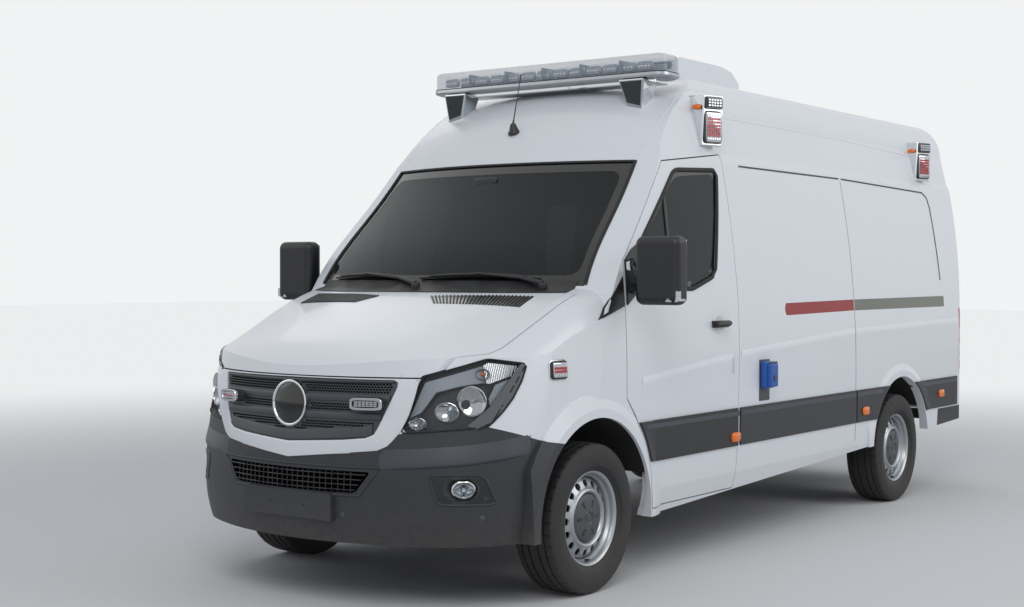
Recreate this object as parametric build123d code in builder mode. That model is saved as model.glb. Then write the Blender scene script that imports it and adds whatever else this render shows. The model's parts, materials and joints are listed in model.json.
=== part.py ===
from build123d import *
import os
from math import cos, radians, sin

# High-roof van ambulance. Millimetres, +Z up, nose towards -Y, vehicle's left on +X.
# Origin: on the ground, at the middle of the overall length and width.

# ---- driving dimensions -------------------------------------------------------------
LENGTH = 5910.0  # front bumper to rear step
WHEELBASE = 3665.0
FRONT_OVERHANG = 1020.0
TRACK = 1720.0  # between the tyre centre planes
TYRE_R = 351.0
TYRE_W = 228.0
AXLE_Z = TYRE_R
RIM_R = 220.0  # outside of the rim flange
WALL = 40.0  # whole wall or door: skin, frame and lining
SHEET = 5.0  # single skins such as wings
GLASS_T = 5.0
LID_T = 20.0  # bonnet and tail lamps
LAMP_DEPTH = 90.0
PLATE_PAD = (262.0, 118.0)  # half width and height
PLATE_SCREW_X, PLATE_SCREW_R = 101.0, 3.5
GLASS_INSET = SHEET  # glass lies this far under the outer surface
GAP = 6.0  # shut line between panels
SEAT_GAP = 0.3  # face to face seats of separate pieces
HALF_W = 984.0  # body side, at the rub strips
SILL_Z = 303.0
ROOF_Z = 2640.0
ARCH_R = 468.0  # wheel arch openings
FLARE_R = 585.0
FLARE_OUT = 12.0
STRIP_OUT = 12.0

# ---- stations, measured backwards from the front axle ---------------------------------
AXLE_F = -LENGTH / 2 + FRONT_OVERHANG  # y of the front axle
AXLE_R = AXLE_F + WHEELBASE
REAR_FACE = LENGTH / 2 - 25.0  # rear doors' outer face, at the middle


def aft(d):
    """Row y of a station d mm behind the front axle."""
    return AXLE_F + d


DOOR_REAR = 1412.0  # rear edge of the cab doors
SEAM = 2880.0  # joint between the middle and rear side panels
WALL_TOP = 2140.0  # side walls end here, under the raised roof
STRIP_LOW, STRIP_HIGH = 570.0, 770.0
REAR_DOOR_LOW, REAR_DOOR_HIGH = 520.0, 2330.0
REAR_DOOR_X = 842.0  # hinge edge of each rear door
FLOOR_Z, FLOOR_T = 600.0, 40.0
COVER_T = 6.0  # floor covering of the patient compartment

# cross-section of the body: half width at each height, up to the shoulder
SECTION = [(948.0, SILL_Z), (978.0, 430.0), (HALF_W, 550.0), (HALF_W, 790.0)]
SIDE_MID, SIDE_TOP = (961.0, 1420.0), (866.0, 2090.0)
GUTTER = (842.0, WALL_TOP)
SHOULDER_LOW, SHOULDER_MID, SHOULDER_HIGH = (795.0, 2345.0), (752.0, 2470.0), (640.0, 2555.0)

# nose in plan: height, centre front, front arc's end x and y, corner's end x and y
NOSE_SLICES = [
    (250.0, -968.0, 660.0, -800.0, 925.0, -420.0),
    (430.0, -1012.0, 690.0, -836.0, 958.0, -430.0),
    (660.0, -1012.0, 690.0, -834.0, 962.0, -430.0),
    (860.0, -996.0, 680.0, -812.0, 960.0, -390.0),
    (1080.0, -975.0, 665.0, -778.0, 952.0, -330.0),
    (1420.0, -880.0, 620.0, -640.0, 945.0, -150.0),
    (1950.0, -600.0, 600.0, -380.0, 940.0, 60.0),
]
# bonnet and wings: station, top at the middle, crown's edge x and z, side's x and z
BONNET_SECTIONS = [
    (-1100.0, 950.0, 600.0, 905.0, 870.0, 720.0),
    (-950.0, 1090.0, 650.0, 1040.0, 900.0, 860.0),
    (-620.0, 1236.0, 740.0, 1150.0, 940.0, 980.0),
    (-280.0, 1352.0, 790.0, 1285.0, 962.0, 1110.0),
    (60.0, 1446.0, 815.0, 1404.0, 975.0, 1230.0),
    (320.0, 1500.0, 820.0, 1470.0, 985.0, 1300.0),
]
# windscreen and front of the roof: height, station of the surface at the middle
SCREEN_SLICES = [
    (1250.0, -270.0),
    (1480.0, -42.0),
    (1800.0, 274.0),
    (2080.0, 545.0),
    (2270.0, 738.0),
    (2420.0, 962.0),
    (2530.0, 1240.0),
    (2600.0, 1600.0),
    (2640.0, 2150.0),
]
SCREEN_ARC_R = 1900.0  # plan radius of the windscreen

FAR = 1300.0  # past the side of the body
TAIL = LENGTH - FRONT_OVERHANG - 25.0  # station of the rear face


def cross_plane(station):
    """Plane across the vehicle at a station, facing forwards; local x is X and local y is Z."""
    return Plane(origin=(0, aft(station), 0), x_dir=(1, 0, 0), z_dir=(0, -1, 0))


def side_prism(points, radius=0.0, grow=0.0, x_from=0.0, x_to=FAR):
    """Side-view outline of (station, z) points, run across the vehicle."""
    with BuildPart() as prism:
        with BuildSketch(Plane.YZ.offset(x_from)) as outline:
            with BuildLine():
                Polyline([(aft(s), z) for s, z in points], close=True)
            make_face()
            if radius:
                fillet(outline.vertices(), radius)
            if grow:
                offset(amount=grow, kind=Kind.INTERSECTION)
        extrude(amount=x_to - x_from)
    return prism.part


def front_prism(points, station_from, station_to, radius=0.0, grow=0.0):
    """Front-view outline of (x, z) points, run back from one station to another."""
    with BuildPart() as prism:
        with BuildSketch(cross_plane(station_from)) as outline:
            with BuildLine():
                Polyline(points, close=True)
            make_face()
            if radius:
                fillet(outline.vertices(), radius)
            if grow:
                offset(amount=grow, kind=Kind.INTERSECTION)
        extrude(amount=station_from - station_to)
    return prism.part


def slab(z_low, z_high, s_from, s_to, x_from=-FAR, x_to=FAR):
    """Box between two heights, two stations and two x values."""
    with BuildPart() as block:
        with BuildSketch(Plane.XY.offset(z_low)):
            with Locations(((x_from + x_to) / 2, aft((s_from + s_to) / 2))):
                Rectangle(x_to - x_from, s_to - s_from)
        extrude(amount=z_high - z_low)
    return block.part


def cross_cylinder(station, z, radius, x_from, x_to):
    """Round bar across the vehicle."""
    with BuildPart() as bar:
        with BuildSketch(Plane.YZ.offset(x_from)):
            with Locations((aft(station), z)):
                Circle(radius)
        extrude(amount=x_to - x_from)
    return bar.part


def common(first, *others):
    """Solid shared by all the given ones."""
    with BuildPart() as shared:
        add(first)
        for other in others:
            add(other, mode=Mode.INTERSECT)
    return shared.part


def minus(first, *others):
    """First solid with the others cut away."""
    with BuildPart() as rest:
        add(first)
        for other in others:
            add(other, mode=Mode.SUBTRACT)
    return rest.part


def both_sides(half):
    """A left-hand piece and its mirror image."""
    with BuildPart() as pair:
        add(half)
        mirror(half, about=Plane.YZ)
    return pair.part


def mirrored(half):
    """The right-hand copy of a left-hand piece."""
    with BuildPart() as copy:
        mirror(half, about=Plane.YZ)
    return copy.part


# ---- outer form -----------------------------------------------------------------------
def body_tube(inset):
    """The constant body section, full length and open below once inset."""
    floor = SILL_Z if inset == 0 else SILL_Z - 60
    side = [(x - inset, z) for x, z in SECTION]
    top, mid = (SIDE_TOP[0] - inset, SIDE_TOP[1]), (SIDE_MID[0] - inset, SIDE_MID[1])
    gutter, low = (GUTTER[0] - inset, GUTTER[1]), (SHOULDER_LOW[0] - inset, SHOULDER_LOW[1])
    bend = (SHOULDER_MID[0] - 0.8 * inset, SHOULDER_MID[1] - 0.5 * inset)
    high = (SHOULDER_HIGH[0] - 0.35 * inset, SHOULDER_HIGH[1] - inset)
    with BuildPart() as tube:
        with BuildSketch(cross_plane(-1200)):
            with BuildLine():
                right = [
                    Polyline((0, floor), (side[0][0], floor), side[0]) if inset else Line((0, floor), side[0]),
                    Polyline(*side),
                    ThreePointArc(side[-1], mid, top),
                    Polyline(top, gutter, low),
                    ThreePointArc(low, bend, high),
                ]
                mirror(right, about=Plane.YZ)
                ThreePointArc(high, (0, ROOF_Z - inset), (-high[0], high[1]))
            make_face()
        extrude(amount=-(TAIL + 1300))
    return tube.part


def plan_limit(inset):
    """Nose and rear corners seen from above, the nose tapering with height."""
    with BuildPart() as nose:
        for z, y_mid, x_arc, y_arc, x_side, y_side in NOSE_SLICES:
            middle = (0, aft(y_mid) + inset)
            arc_end = (x_arc - 0.3 * inset, aft(y_arc) + 0.95 * inset)
            side = (x_side - inset, aft(y_side) + 0.3 * inset)
            with BuildSketch(Plane.XY.offset(z)):
                with BuildLine():
                    front = ThreePointArc((-arc_end[0], arc_end[1]), middle, arc_end)
                    corner = [
                        TangentArc(arc_end, side, tangent=front % 1),
                        Polyline(side, (1010, aft(420)), (0, aft(420))),
                    ]
                    mirror(corner, about=Plane.YZ)
                make_face()
        loft()
    back = TAIL - inset
    with BuildPart() as limit:
        with BuildSketch(Plane.XY.offset(200)):
            with BuildLine():
                half = [
                    Polyline((0, aft(300)), (1010, aft(300)), (1010, aft(TAIL - 700)), (982 - inset, aft(TAIL - 110))),
                    ThreePointArc(
                        (982 - inset, aft(TAIL - 110)),
                        (950 - 0.7 * inset, aft(TAIL - 38 - 0.7 * inset)),
                        (880 - 0.3 * inset, aft(back - 8)),
                    ),
                    Line((880 - 0.3 * inset, aft(back - 8)), (0, aft(back))),
                ]
                mirror(half, about=Plane.YZ)
            make_face()
        extrude(amount=2600)
        add(nose.part)
    return limit.part


def top_limit(inset):
    """Below the bonnet, or behind the windscreen and under the front of the roof."""
    with BuildPart() as bonnet:
        for s, z_mid, x_crown, z_crown, x_side, z_side in BONNET_SECTIONS:
            with BuildSketch(cross_plane(s)):
                with BuildLine():
                    crown = ThreePointArc((-x_crown, z_crown), (0, z_mid), (x_crown, z_crown))
                    shoulder = [
                        TangentArc((x_crown, z_crown), (x_side, z_side), tangent=crown % 1),
                        Polyline((x_side, z_side), (1015, z_side - 30), (1015, 200), (0, 200)),
                    ]
                    mirror(shoulder, about=Plane.YZ)
                make_face()
        loft()
    x = 1015.0
    sag = SCREEN_ARC_R - (SCREEN_ARC_R**2 - x**2) ** 0.5
    with BuildPart() as cab:
        for z, s_mid in SCREEN_SLICES:
            with BuildSketch(Plane.XY.offset(z)):
                with BuildLine():
                    ThreePointArc((-x, aft(s_mid + sag)), (0, aft(s_mid)), (x, aft(s_mid + sag)))
                    Polyline((x, aft(s_mid + sag)), (x, aft(TAIL + 50)), (-x, aft(TAIL + 50)), (-x, aft(s_mid + sag)))
                make_face()
        loft()
    slope = 0.7 * inset
    with BuildPart() as limit:
        with Locations((0, 0, -inset)):
            add(bonnet.part)
        with Locations((0, slope, -slope)):
            add(cab.part)
        add(slab(200, 1460 - inset, 300, TAIL + 50, -1015, 1015))
        add(slab(2600 - slope, 2700, 2200, TAIL + 50, -1015, 1015))
    return limit.part


def envelope(inset):
    """The vehicle's outer form, every face moved inwards by inset."""
    return common(body_tube(inset), plan_limit(inset), top_limit(inset))


def arch_flare(station):
    """Raised lip round a wheel arch, tapering into the body side."""
    with BuildPart() as lip:
        with BuildSketch(Plane(origin=(0, aft(station), AXLE_Z), x_dir=(1, 0, 0), z_dir=(0, -1, 0))):
            with BuildLine():
                Polyline(
                    (HALF_W - 90, ARCH_R - 20),
                    (HALF_W + FLARE_OUT, ARCH_R - 20),
                    (HALF_W + FLARE_OUT, ARCH_R + 40),
                    (HALF_W - 8, FLARE_R),
                    (HALF_W - 90, FLARE_R),
                    close=True,
                )
            make_face()
        revolve(axis=Axis((0, aft(station), AXLE_Z), (1, 0, 0)))
        add(slab(SILL_Z, 1000, station - 520, station + 600), mode=Mode.INTERSECT)
    return lip.part


form = envelope(0)
form_sheet = envelope(SHEET)
form_glass = envelope(GLASS_INSET + GLASS_T)
form_lid = envelope(LID_T)
form_inner = envelope(WALL)
form_lamp = envelope(LAMP_DEPTH)

with BuildPart() as hull:  # outer form with its flares and open wheel arches
    add(form)
    for wheel in (0.0, WHEELBASE):
        lips = both_sides(arch_flare(wheel))
        add(lips)
    for wheel in (0.0, WHEELBASE):
        add(cross_cylinder(wheel, AXLE_Z, ARCH_R, 520, FAR), mode=Mode.SUBTRACT)
        add(cross_cylinder(wheel, AXLE_Z, ARCH_R, -FAR, -520), mode=Mode.SUBTRACT)
    add(
        side_prism([(500, 200), (500, SILL_Z - 2), (3250, 405), (5000, 470), (5000, 200)], x_from=-FAR),
        mode=Mode.SUBTRACT,
    )
shell = minus(hull.part, form_inner)
skin = minus(hull.part, form_sheet)
pane = minus(form_sheet, form_glass)

# ---- outlines of doors, lids and windows ------------------------------------------------
CAB_DOOR = [(262, 892), (268, 1300), (277, 1545), (762, 2052), (DOOR_REAR - 8, 2124), (DOOR_REAR, 1300),
            (1366, 345), (484, 345), (470, 520), (415, 690), (345, 800)]
CAB_WINDOW = [(352, 1545), (868, 2010), (1325, 2035), (1172, 1480), (905, 1408), (352, 1500)]
SLIDING_DOOR = [(1450, 600), (1450, 2080), (2790, 2080), (2790, 600)]
SLIDING_WINDOW = [(1560, 1400), (1560, 1960), (2680, 1960), (2680, 1400)]
REAR_DOOR = [(4, REAR_DOOR_LOW), (4, REAR_DOOR_HIGH), (720, REAR_DOOR_HIGH), (REAR_DOOR_X - 42, 2100),
             (REAR_DOOR_X, 1500), (REAR_DOOR_X, REAR_DOOR_LOW)]
REAR_WINDOW = [(95, 1350), (95, 1960), (690, 1960), (725, 1350)]
SCREEN_OPENING = [(-835, 1425), (835, 1425), (765, 2050), (-765, 2050)]
BONNET_PLAN = [(0.0, -1100.0), (520.0, -1100.0), (528.0, -860.0), (626.0, -838.0), (800.0, -610.0),
               (822.0, -535.0), (842.0, -242.0), (845.0, 22.0)]
LAMP_OUTLINE = [(316, 1088), (140, 822), (-240, 793), (-146, 1034), (138, 1112)]
GRILLE_OPENING = [(-505, 1000), (-350, 790), (0, 736), (350, 790), (505, 1000), (0, 1010)]


def bonnet_prism(grow):
    """Plan outline of the bonnet, run up through the nose."""
    with BuildPart() as prism:
        with BuildSketch(Plane.XY.offset(960)):
            with BuildLine():
                half = Polyline(
                    *[(x + (grow if x else 0), aft(s - (grow if 500 < x < 830 else 0))) for x, s in BONNET_PLAN[:-1]],
                    (845 + grow, aft(22 + 1.6 * grow)),
                )
                mirror(half, about=Plane.YZ)
                ThreePointArc(half @ 1, (0, aft(-162 + 1.6 * grow)), (-845 - grow, aft(22 + 1.6 * grow)))
            make_face()
        extrude(amount=700)
    return prism.part


def lamp_prism(grow):
    """Headlamp outline, run through the front corner at 45 degrees."""
    across = Plane(origin=(1100, aft(-1100), 0), x_dir=(1, 1, 0), z_dir=(1, -1, 0))
    middle = (1100 - 1100) / 2**0.5
    with BuildPart() as prism:
        with BuildSketch(across) as outline:
            with BuildLine():
                Polyline([(h - middle, z) for h, z in LAMP_OUTLINE], close=True)
            make_face()
            fillet(outline.vertices(), 22)
            if grow:
                offset(amount=grow, kind=Kind.INTERSECTION)
        extrude(amount=-900)
    return prism.part


# ---- bonnet, wings, bumper and lamps ------------------------------------------------------
NOSE_SPLIT = 1380.0  # the pillars begin above this height
BONNET_HINGE = (0.0, aft(20), 1362.0)
bonnet_floor = side_prism(
    [(-1200, 1032), (-820, 1032), (200, 1180), (200, 1700), (-1200, 1700)], x_from=-FAR, x_to=FAR
)
bonnet_floor_cut = side_prism(
    [(-1200, 1032 - GAP), (-820, 1032 - GAP), (200, 1180 - GAP), (200, 1700), (-1200, 1700)], x_from=-FAR, x_to=FAR
)
with BuildPart() as bonnet:
    add(minus(form, form_lid))
    add(bonnet_prism(0), mode=Mode.INTERSECT)
    add(bonnet_floor, mode=Mode.INTERSECT)
    add(both_sides(lamp_prism(GAP)), mode=Mode.SUBTRACT)
bonnet_cut = common(bonnet_prism(GAP), bonnet_floor_cut)

bumper_zone = common(
    front_prism(
        [(-FAR, 200), (-FAR, 812), (-870, 822), (-560, 792), (-430, 772), (-330, 700), (0, 672),
         (330, 700), (430, 772), (560, 792), (870, 822), (FAR, 812), (FAR, 200)], -1300, 0
    ),
    side_prism([(-1300, 200), (-1300, 840), (-690, 828), (-400, 742), (-270, 722), (-270, 200)], x_from=-FAR),
)
lamp_cut = both_sides(lamp_prism(0))
with BuildPart() as front_bumper:
    add(shell)
    add(bumper_zone, mode=Mode.INTERSECT)
    add(front_prism([(-330, 590), (-330, 655), (330, 655), (330, 590)], -1300, -600), mode=Mode.SUBTRACT)
    with BuildSketch(cross_plane(-1300)):  # fog lamp pockets
        with Locations((-787, 555), (787, 555)):
            Circle(52)
    extrude(amount=-700, mode=Mode.SUBTRACT)
    with BuildSketch(cross_plane(-FRONT_OVERHANG)):  # number plate pad
        with Locations((0, 461)):
            RectangleRounded(2 * PLATE_PAD[0], PLATE_PAD[1], 8)
    extrude(amount=-34)
    with BuildSketch(cross_plane(-FRONT_OVERHANG)):
        with Locations((-PLATE_SCREW_X, 461), (PLATE_SCREW_X, 461)):
            Circle(PLATE_SCREW_R)
    extrude(amount=-90, mode=Mode.SUBTRACT)

wing_zone = side_prism(
    [(-1300, 200), (-1300, NOSE_SPLIT), (262, NOSE_SPLIT), (255, 889), (337, 794), (409, 687), (464, 518),
     (476, 300), (476, 200)], x_from=-FAR
)
with BuildPart() as front_panels:
    add(skin)
    add(wing_zone, mode=Mode.INTERSECT)
    add(slab(200, NOSE_SPLIT, 0, 262, -700, 700), mode=Mode.SUBTRACT)
    add(bumper_zone, mode=Mode.SUBTRACT)
    add(bonnet_cut, mode=Mode.SUBTRACT)
    add(lamp_cut, mode=Mode.SUBTRACT)
    add(front_prism(GRILLE_OPENING, -1300, -600), mode=Mode.SUBTRACT)

with BuildPart() as grille:
    with Locations((0, SEAT_GAP, 0)):
        add(minus(form_sheet, form_inner))
    add(front_prism(GRILLE_OPENING, -1300, -600, grow=-SEAT_GAP), mode=Mode.INTERSECT)

lamp_form = lamp_prism(-SEAT_GAP)
with BuildPart() as lamp_bowl:
    with Locations((0, SEAT_GAP, 0)):
        add(common(minus(form_sheet, form_lamp), lamp_form))
    add(common(minus(form, form_inner), lamp_prism(-6)), mode=Mode.SUBTRACT)
with BuildPart() as headlamps:
    add(both_sides(common(minus(form, form_sheet), lamp_form)))
with BuildPart() as headlamp_housings:
    add(both_sides(lamp_bowl.part))

# ---- cab: pillars, windscreen, doors --------------------------------------------------------
LEAF_Z, LEAF_H = (1395.0, 1500.0), 40.0  # door hinge leaves, hidden in the shut line


def door_front(z):
    """Station of the cab door's front edge at a height between its belt points."""
    (s_low, z_low), (s_high, z_high) = CAB_DOOR[1:3]
    return s_low + (s_high - s_low) * (z - z_low) / (z_high - z_low)


def hinge_leaf(z):
    """Leaf of the pillar that reaches across the shut line to the door, in the inner half of the wall."""
    low, high = door_front(z) - SEAT_GAP, door_front(z + LEAF_H) - SEAT_GAP
    return common(
        shell, form_lid, side_prism([(low - 25, z), (low, z), (high, z + LEAF_H), (high - 25, z + LEAF_H)], x_from=-FAR)
    )


BLOCK_S, BLOCK_X = (-90.0, 75.0), (690.0, 740.0)
with BuildPart() as bonnet_hinge:  # blocks that carry the bonnet's rear corners
    with Locations((0, 0, -SEAT_GAP)):
        add(form_lid)
    add(both_sides(slab(1330, 1470, *BLOCK_S, *BLOCK_X)), mode=Mode.INTERSECT)
screen_cut = common(front_prism(SCREEN_OPENING, -600, 1000), slab(1400, 2100, -600, 760))
with BuildPart() as cab_frame:
    add(shell)
    add(
        side_prism([(-700, NOSE_SPLIT + SEAT_GAP), (-700, WALL_TOP - 0.2), (756, WALL_TOP - 0.2), (756, 2054),
                    (271, 1548), (262, NOSE_SPLIT + SEAT_GAP)], x_from=-FAR),
        mode=Mode.INTERSECT,
    )
    add(bonnet_cut, mode=Mode.SUBTRACT)
    add(screen_cut, mode=Mode.SUBTRACT)
    add(bonnet_hinge.part)
    for z in LEAF_Z:
        add(hinge_leaf(z))

sliding_window = mirrored(side_prism(SLIDING_WINDOW, radius=50))
with BuildPart() as body_glass:
    add(common(pane, front_prism(SCREEN_OPENING, -600, 1000, grow=-SEAT_GAP), slab(1400, 2100, -600, 760)))
    add(common(pane, mirrored(side_prism(SLIDING_WINDOW, radius=50, grow=-SEAT_GAP))))

cab_door_hole = side_prism(CAB_DOOR, grow=GAP)
cab_door_form = side_prism(CAB_DOOR)
cab_window_hole = side_prism(CAB_WINDOW, radius=18)
with BuildPart() as left_front_door:
    add(shell)
    add(cab_door_form, mode=Mode.INTERSECT)
    add(cab_window_hole, mode=Mode.SUBTRACT)
with BuildPart() as left_front_glass:
    add(pane)
    add(side_prism(CAB_WINDOW, radius=18, grow=-SEAT_GAP), mode=Mode.INTERSECT)

REAR_HINGE = (REAR_DOOR_X + 3.0, aft(TAIL + 4))
HINGE_Z = (640.0, 1330.0, 1900.0)
HINGE_R, HINGE_H = 9.0, 44.0


def hinge_half(z_low, x_from, x_to):
    """Barrel and leaf of one half of a rear door hinge."""
    with BuildPart() as half:
        with BuildSketch(Plane.XY.offset(z_low)):
            with Locations(REAR_HINGE):
                Circle(HINGE_R)
            with Locations(((x_from + x_to) / 2, aft(TAIL - 5))):
                Rectangle(abs(x_to - x_from), 12)
        extrude(amount=HINGE_H)
    return half.part


# ---- side walls and roof ---------------------------------------------------------------------
side_zone = side_prism(
    [(756 + SEAT_GAP, 2060), (756 + SEAT_GAP, WALL_TOP - 0.2), (TAIL + 100, WALL_TOP - 0.2), (TAIL + 100, SILL_Z - 10),
     (476 + SEAT_GAP, SILL_Z - 10), (476 + SEAT_GAP, 344), (900, 900), (900, 1800)]
)
rear_opening = both_sides(front_prism(REAR_DOOR, TAIL - 130, TAIL + 100, grow=GAP))
tail_lamp_zone = slab(800, 1250, TAIL - 105, TAIL + 50, REAR_DOOR_X + 14, FAR)
bumper_rear_zone = slab(300, 560, 4340, TAIL + 50, -FAR, FAR)
with BuildPart() as left_side_panel:
    add(shell)
    add(side_zone, mode=Mode.INTERSECT)
    add(cab_door_hole, mode=Mode.SUBTRACT)
    add(rear_opening, mode=Mode.SUBTRACT)
    add(tail_lamp_zone, mode=Mode.SUBTRACT)
    add(bumper_rear_zone, mode=Mode.SUBTRACT)
    for z in HINGE_Z:
        add(minus(hinge_half(z + HINGE_H + SEAT_GAP, REAR_HINGE[0], REAR_HINGE[0] + 40), form))
sliding_hole = mirrored(side_prism(SLIDING_DOOR, radius=60, grow=SEAT_GAP))
with BuildPart() as right_side_panel:
    add(mirrored(left_side_panel.part))
    add(sliding_hole, mode=Mode.SUBTRACT)
with BuildPart() as sliding_door:
    add(shell)
    add(mirrored(side_prism(SLIDING_DOOR, radius=60)), mode=Mode.INTERSECT)
    add(sliding_window, mode=Mode.SUBTRACT)

with BuildPart() as roof_panel:
    add(shell)
    add(slab(WALL_TOP, ROOF_Z + 100, -600, TAIL + 100), mode=Mode.INTERSECT)
    add(rear_opening, mode=Mode.SUBTRACT)

with BuildPart() as tail_lamp:
    add(minus(form, form_lid))
    add(tail_lamp_zone, mode=Mode.INTERSECT)
with BuildPart() as tail_lamps:
    add(both_sides(tail_lamp.part))

# ---- rear doors ------------------------------------------------------------------------------
rear_door_form = front_prism(REAR_DOOR, TAIL - 60, TAIL + 100)
rear_window_hole = front_prism(REAR_WINDOW, TAIL - 200, TAIL + 100, radius=45)
with BuildPart() as left_rear_door:
    add(shell)
    add(rear_door_form, mode=Mode.INTERSECT)
    add(slab(300, 2500, TAIL - WALL - 12, TAIL + 10), mode=Mode.INTERSECT)
    add(rear_window_hole, mode=Mode.SUBTRACT)
    for z in HINGE_Z:
        add(minus(hinge_half(z, REAR_HINGE[0] - 75, REAR_HINGE[0]), form))
with BuildPart() as left_rear_glass:
    add(pane)
    add(front_prism(REAR_WINDOW, TAIL - 60, TAIL + 100, radius=45, grow=-SEAT_GAP), mode=Mode.INTERSECT)

with BuildPart() as rear_bumper:
    add(shell)
    add(slab(300, 559.7, 4340, TAIL + 50), mode=Mode.INTERSECT)
    add(slab(REAR_DOOR_LOW - 8, 600, TAIL - 200, TAIL + 50, -REAR_DOOR_X - GAP, REAR_DOOR_X + GAP), mode=Mode.SUBTRACT)
    add(slab(440, REAR_DOOR_LOW - 8, TAIL - 45, TAIL + 25, -760, 760))

# ---- floor, wheelhouses, partition, cab fittings ------------------------------------------------
HOUSE_R, HOUSE_T = ARCH_R + 6.0, 5.0
FRONT_HOUSE_X, REAR_HOUSE_X = 530.0, 700.0


def wheelhouse(station, x_in, z_low):
    """Half-round liner over a wheel, closed on its inner side, clear of the outer skin."""
    with BuildPart() as house:
        add(cross_cylinder(station, AXLE_Z, HOUSE_R + HOUSE_T, x_in, HALF_W - SHEET - 1))
        add(cross_cylinder(station, AXLE_Z, HOUSE_R, x_in + HOUSE_T, HALF_W + 10), mode=Mode.SUBTRACT)
        add(slab(z_low, 1000, station - 520, station + 520), mode=Mode.INTERSECT)
    return house.part


with BuildPart() as floor_pan:
    add(slab(FLOOR_Z + FLOOR_T - 1, FLOOR_Z + FLOOR_T + COVER_T, 1500, TAIL - 75, 10 - REAR_HOUSE_X, REAR_HOUSE_X - 10))
    add(common(slab(FLOOR_Z, FLOOR_Z + FLOOR_T, 1440, TAIL - WALL - 20), form_inner))
    add(slab(FLOOR_Z, FLOOR_Z + FLOOR_T, 484, 1440, -922, 922))
    add(slab(FLOOR_Z, FLOOR_Z + FLOOR_T, 140, 484, -FRONT_HOUSE_X, FRONT_HOUSE_X))
    add(cross_cylinder(WHEELBASE, AXLE_Z, HOUSE_R + 1, REAR_HOUSE_X, FAR), mode=Mode.SUBTRACT)
    add(cross_cylinder(WHEELBASE, AXLE_Z, HOUSE_R + 1, -FAR, -REAR_HOUSE_X), mode=Mode.SUBTRACT)
    add(both_sides(common(wheelhouse(WHEELBASE, REAR_HOUSE_X, FLOOR_Z), form_inner)))
    add(both_sides(minus(common(wheelhouse(0, FRONT_HOUSE_X, 520), form_glass), front_bumper.part)))

with BuildPart() as bulkheads:
    add(common(slab(FLOOR_Z + FLOOR_T + SEAT_GAP, 2500, 1460, 1485), form_inner))
    add(front_prism([(-330, 1480), (330, 1480), (330, 1880), (-330, 1880)], 1400, 1500, radius=40), mode=Mode.SUBTRACT)
    add(minus(
        common(slab(FLOOR_Z + FLOOR_T + SEAT_GAP, 1330, 140, 152), form_inner),
        cross_cylinder(0, AXLE_Z, HOUSE_R + HOUSE_T + 1, -FAR, FAR),
    ))

SEAT_X, SEAT_W = 480.0, 480.0
wheel_plane = Plane(origin=(SEAT_X, aft(585), 1270), x_dir=(1, 0, 0), z_dir=(0, 0.5, 0.866))
with BuildPart(wheel_plane) as steering_wheel:
    with BuildSketch(Plane(origin=wheel_plane.origin, x_dir=(1, 0, 0), z_dir=-wheel_plane.y_dir)):
        with Locations((190, 0)):
            RegularPolygon(15, 8)
    revolve(axis=Axis(wheel_plane.origin, wheel_plane.z_dir))
    with Locations((0, 0, -25)):
        Cylinder(55, 50)
        Box(370, 34, 14)
        Box(34, 370, 14)
    with Locations((0, 0, -120)):
        Cylinder(24, 200)
with BuildPart() as dashboard:
    add(steering_wheel.part)
    with Locations((0, SEAT_GAP, -SEAT_GAP)):
        add(minus(
            common(side_prism([(-90, 1345), (-90, 1386), (330, 1392), (470, 1340), (520, 1190), (460, 1020), (152, 1020),
                               (152, 1345)], x_from=-880, x_to=880), form_inner),
            both_sides(slab(1300, 1500, -200, BLOCK_S[1] + GAP, BLOCK_X[0] - GAP, BLOCK_X[1] + GAP)),
        ))
with BuildPart() as seat:
    add(side_prism([(760, 640.3), (760, 1000), (700, 1010), (700, 1085), (1180, 1075), (1290, 1660), (1310, 1690),
                    (1400, 1690), (1405, 1660), (1310, 1000), (1240, 1000), (1240, 640.3)],
                   x_from=SEAT_X - SEAT_W / 2, x_to=SEAT_X + SEAT_W / 2))
    add(side_prism([(1325, 1680), (1330, 1880), (1420, 1880), (1405, 1680)], x_from=SEAT_X - 130, x_to=SEAT_X + 130))
with BuildPart() as cab_seats:
    add(both_sides(seat.part))


# ---- chassis, engine and axles ----------------------------------------------------------------
KINGPIN_X = 775.0
DISC_FACE = 54.0  # hub face outboard of the wheel's centre plane
DISC_R = 130.0
ENGINE = (560.0, 600.0, 520.0)
with BuildPart() as chassis:
    with BuildSketch(Plane.XY.offset(430)):
        with Locations((-420, aft(1900)), (420, aft(1900))):
            Rectangle(80, 5300)
        for s in (-600, 700, 1300, 2600, 4300):
            with Locations((0, aft(s))):
                Rectangle(840, 70)
    extrude(amount=FLOOR_Z - SEAT_GAP - 430)
    with BuildSketch(Plane.XY.offset(190)):  # lower arms and their crossmember
        with Locations((0, aft(0))):
            Rectangle(2 * KINGPIN_X, 54)
        with Locations((-KINGPIN_X, aft(0)), (KINGPIN_X, aft(0))):
            Circle(27)
        with Locations((0, aft(120))):
            Rectangle(900, 240)
    extrude(amount=19.7)
    with BuildSketch(Plane.XY.offset(190)):
        with Locations((-420, aft(120)), (420, aft(120))):
            Rectangle(60, 180)
    extrude(amount=300)
    add(both_sides(slab(520, 565, -330, -230, ENGINE[0] / 2 + SEAT_GAP, 385)))
    add(slab(330, 560, 1400, 2300, -379.7, 40))
    add(slab(480, 480 + ENGINE[2], -560, -560 + ENGINE[1], -ENGINE[0] / 2, ENGINE[0] / 2))

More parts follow.
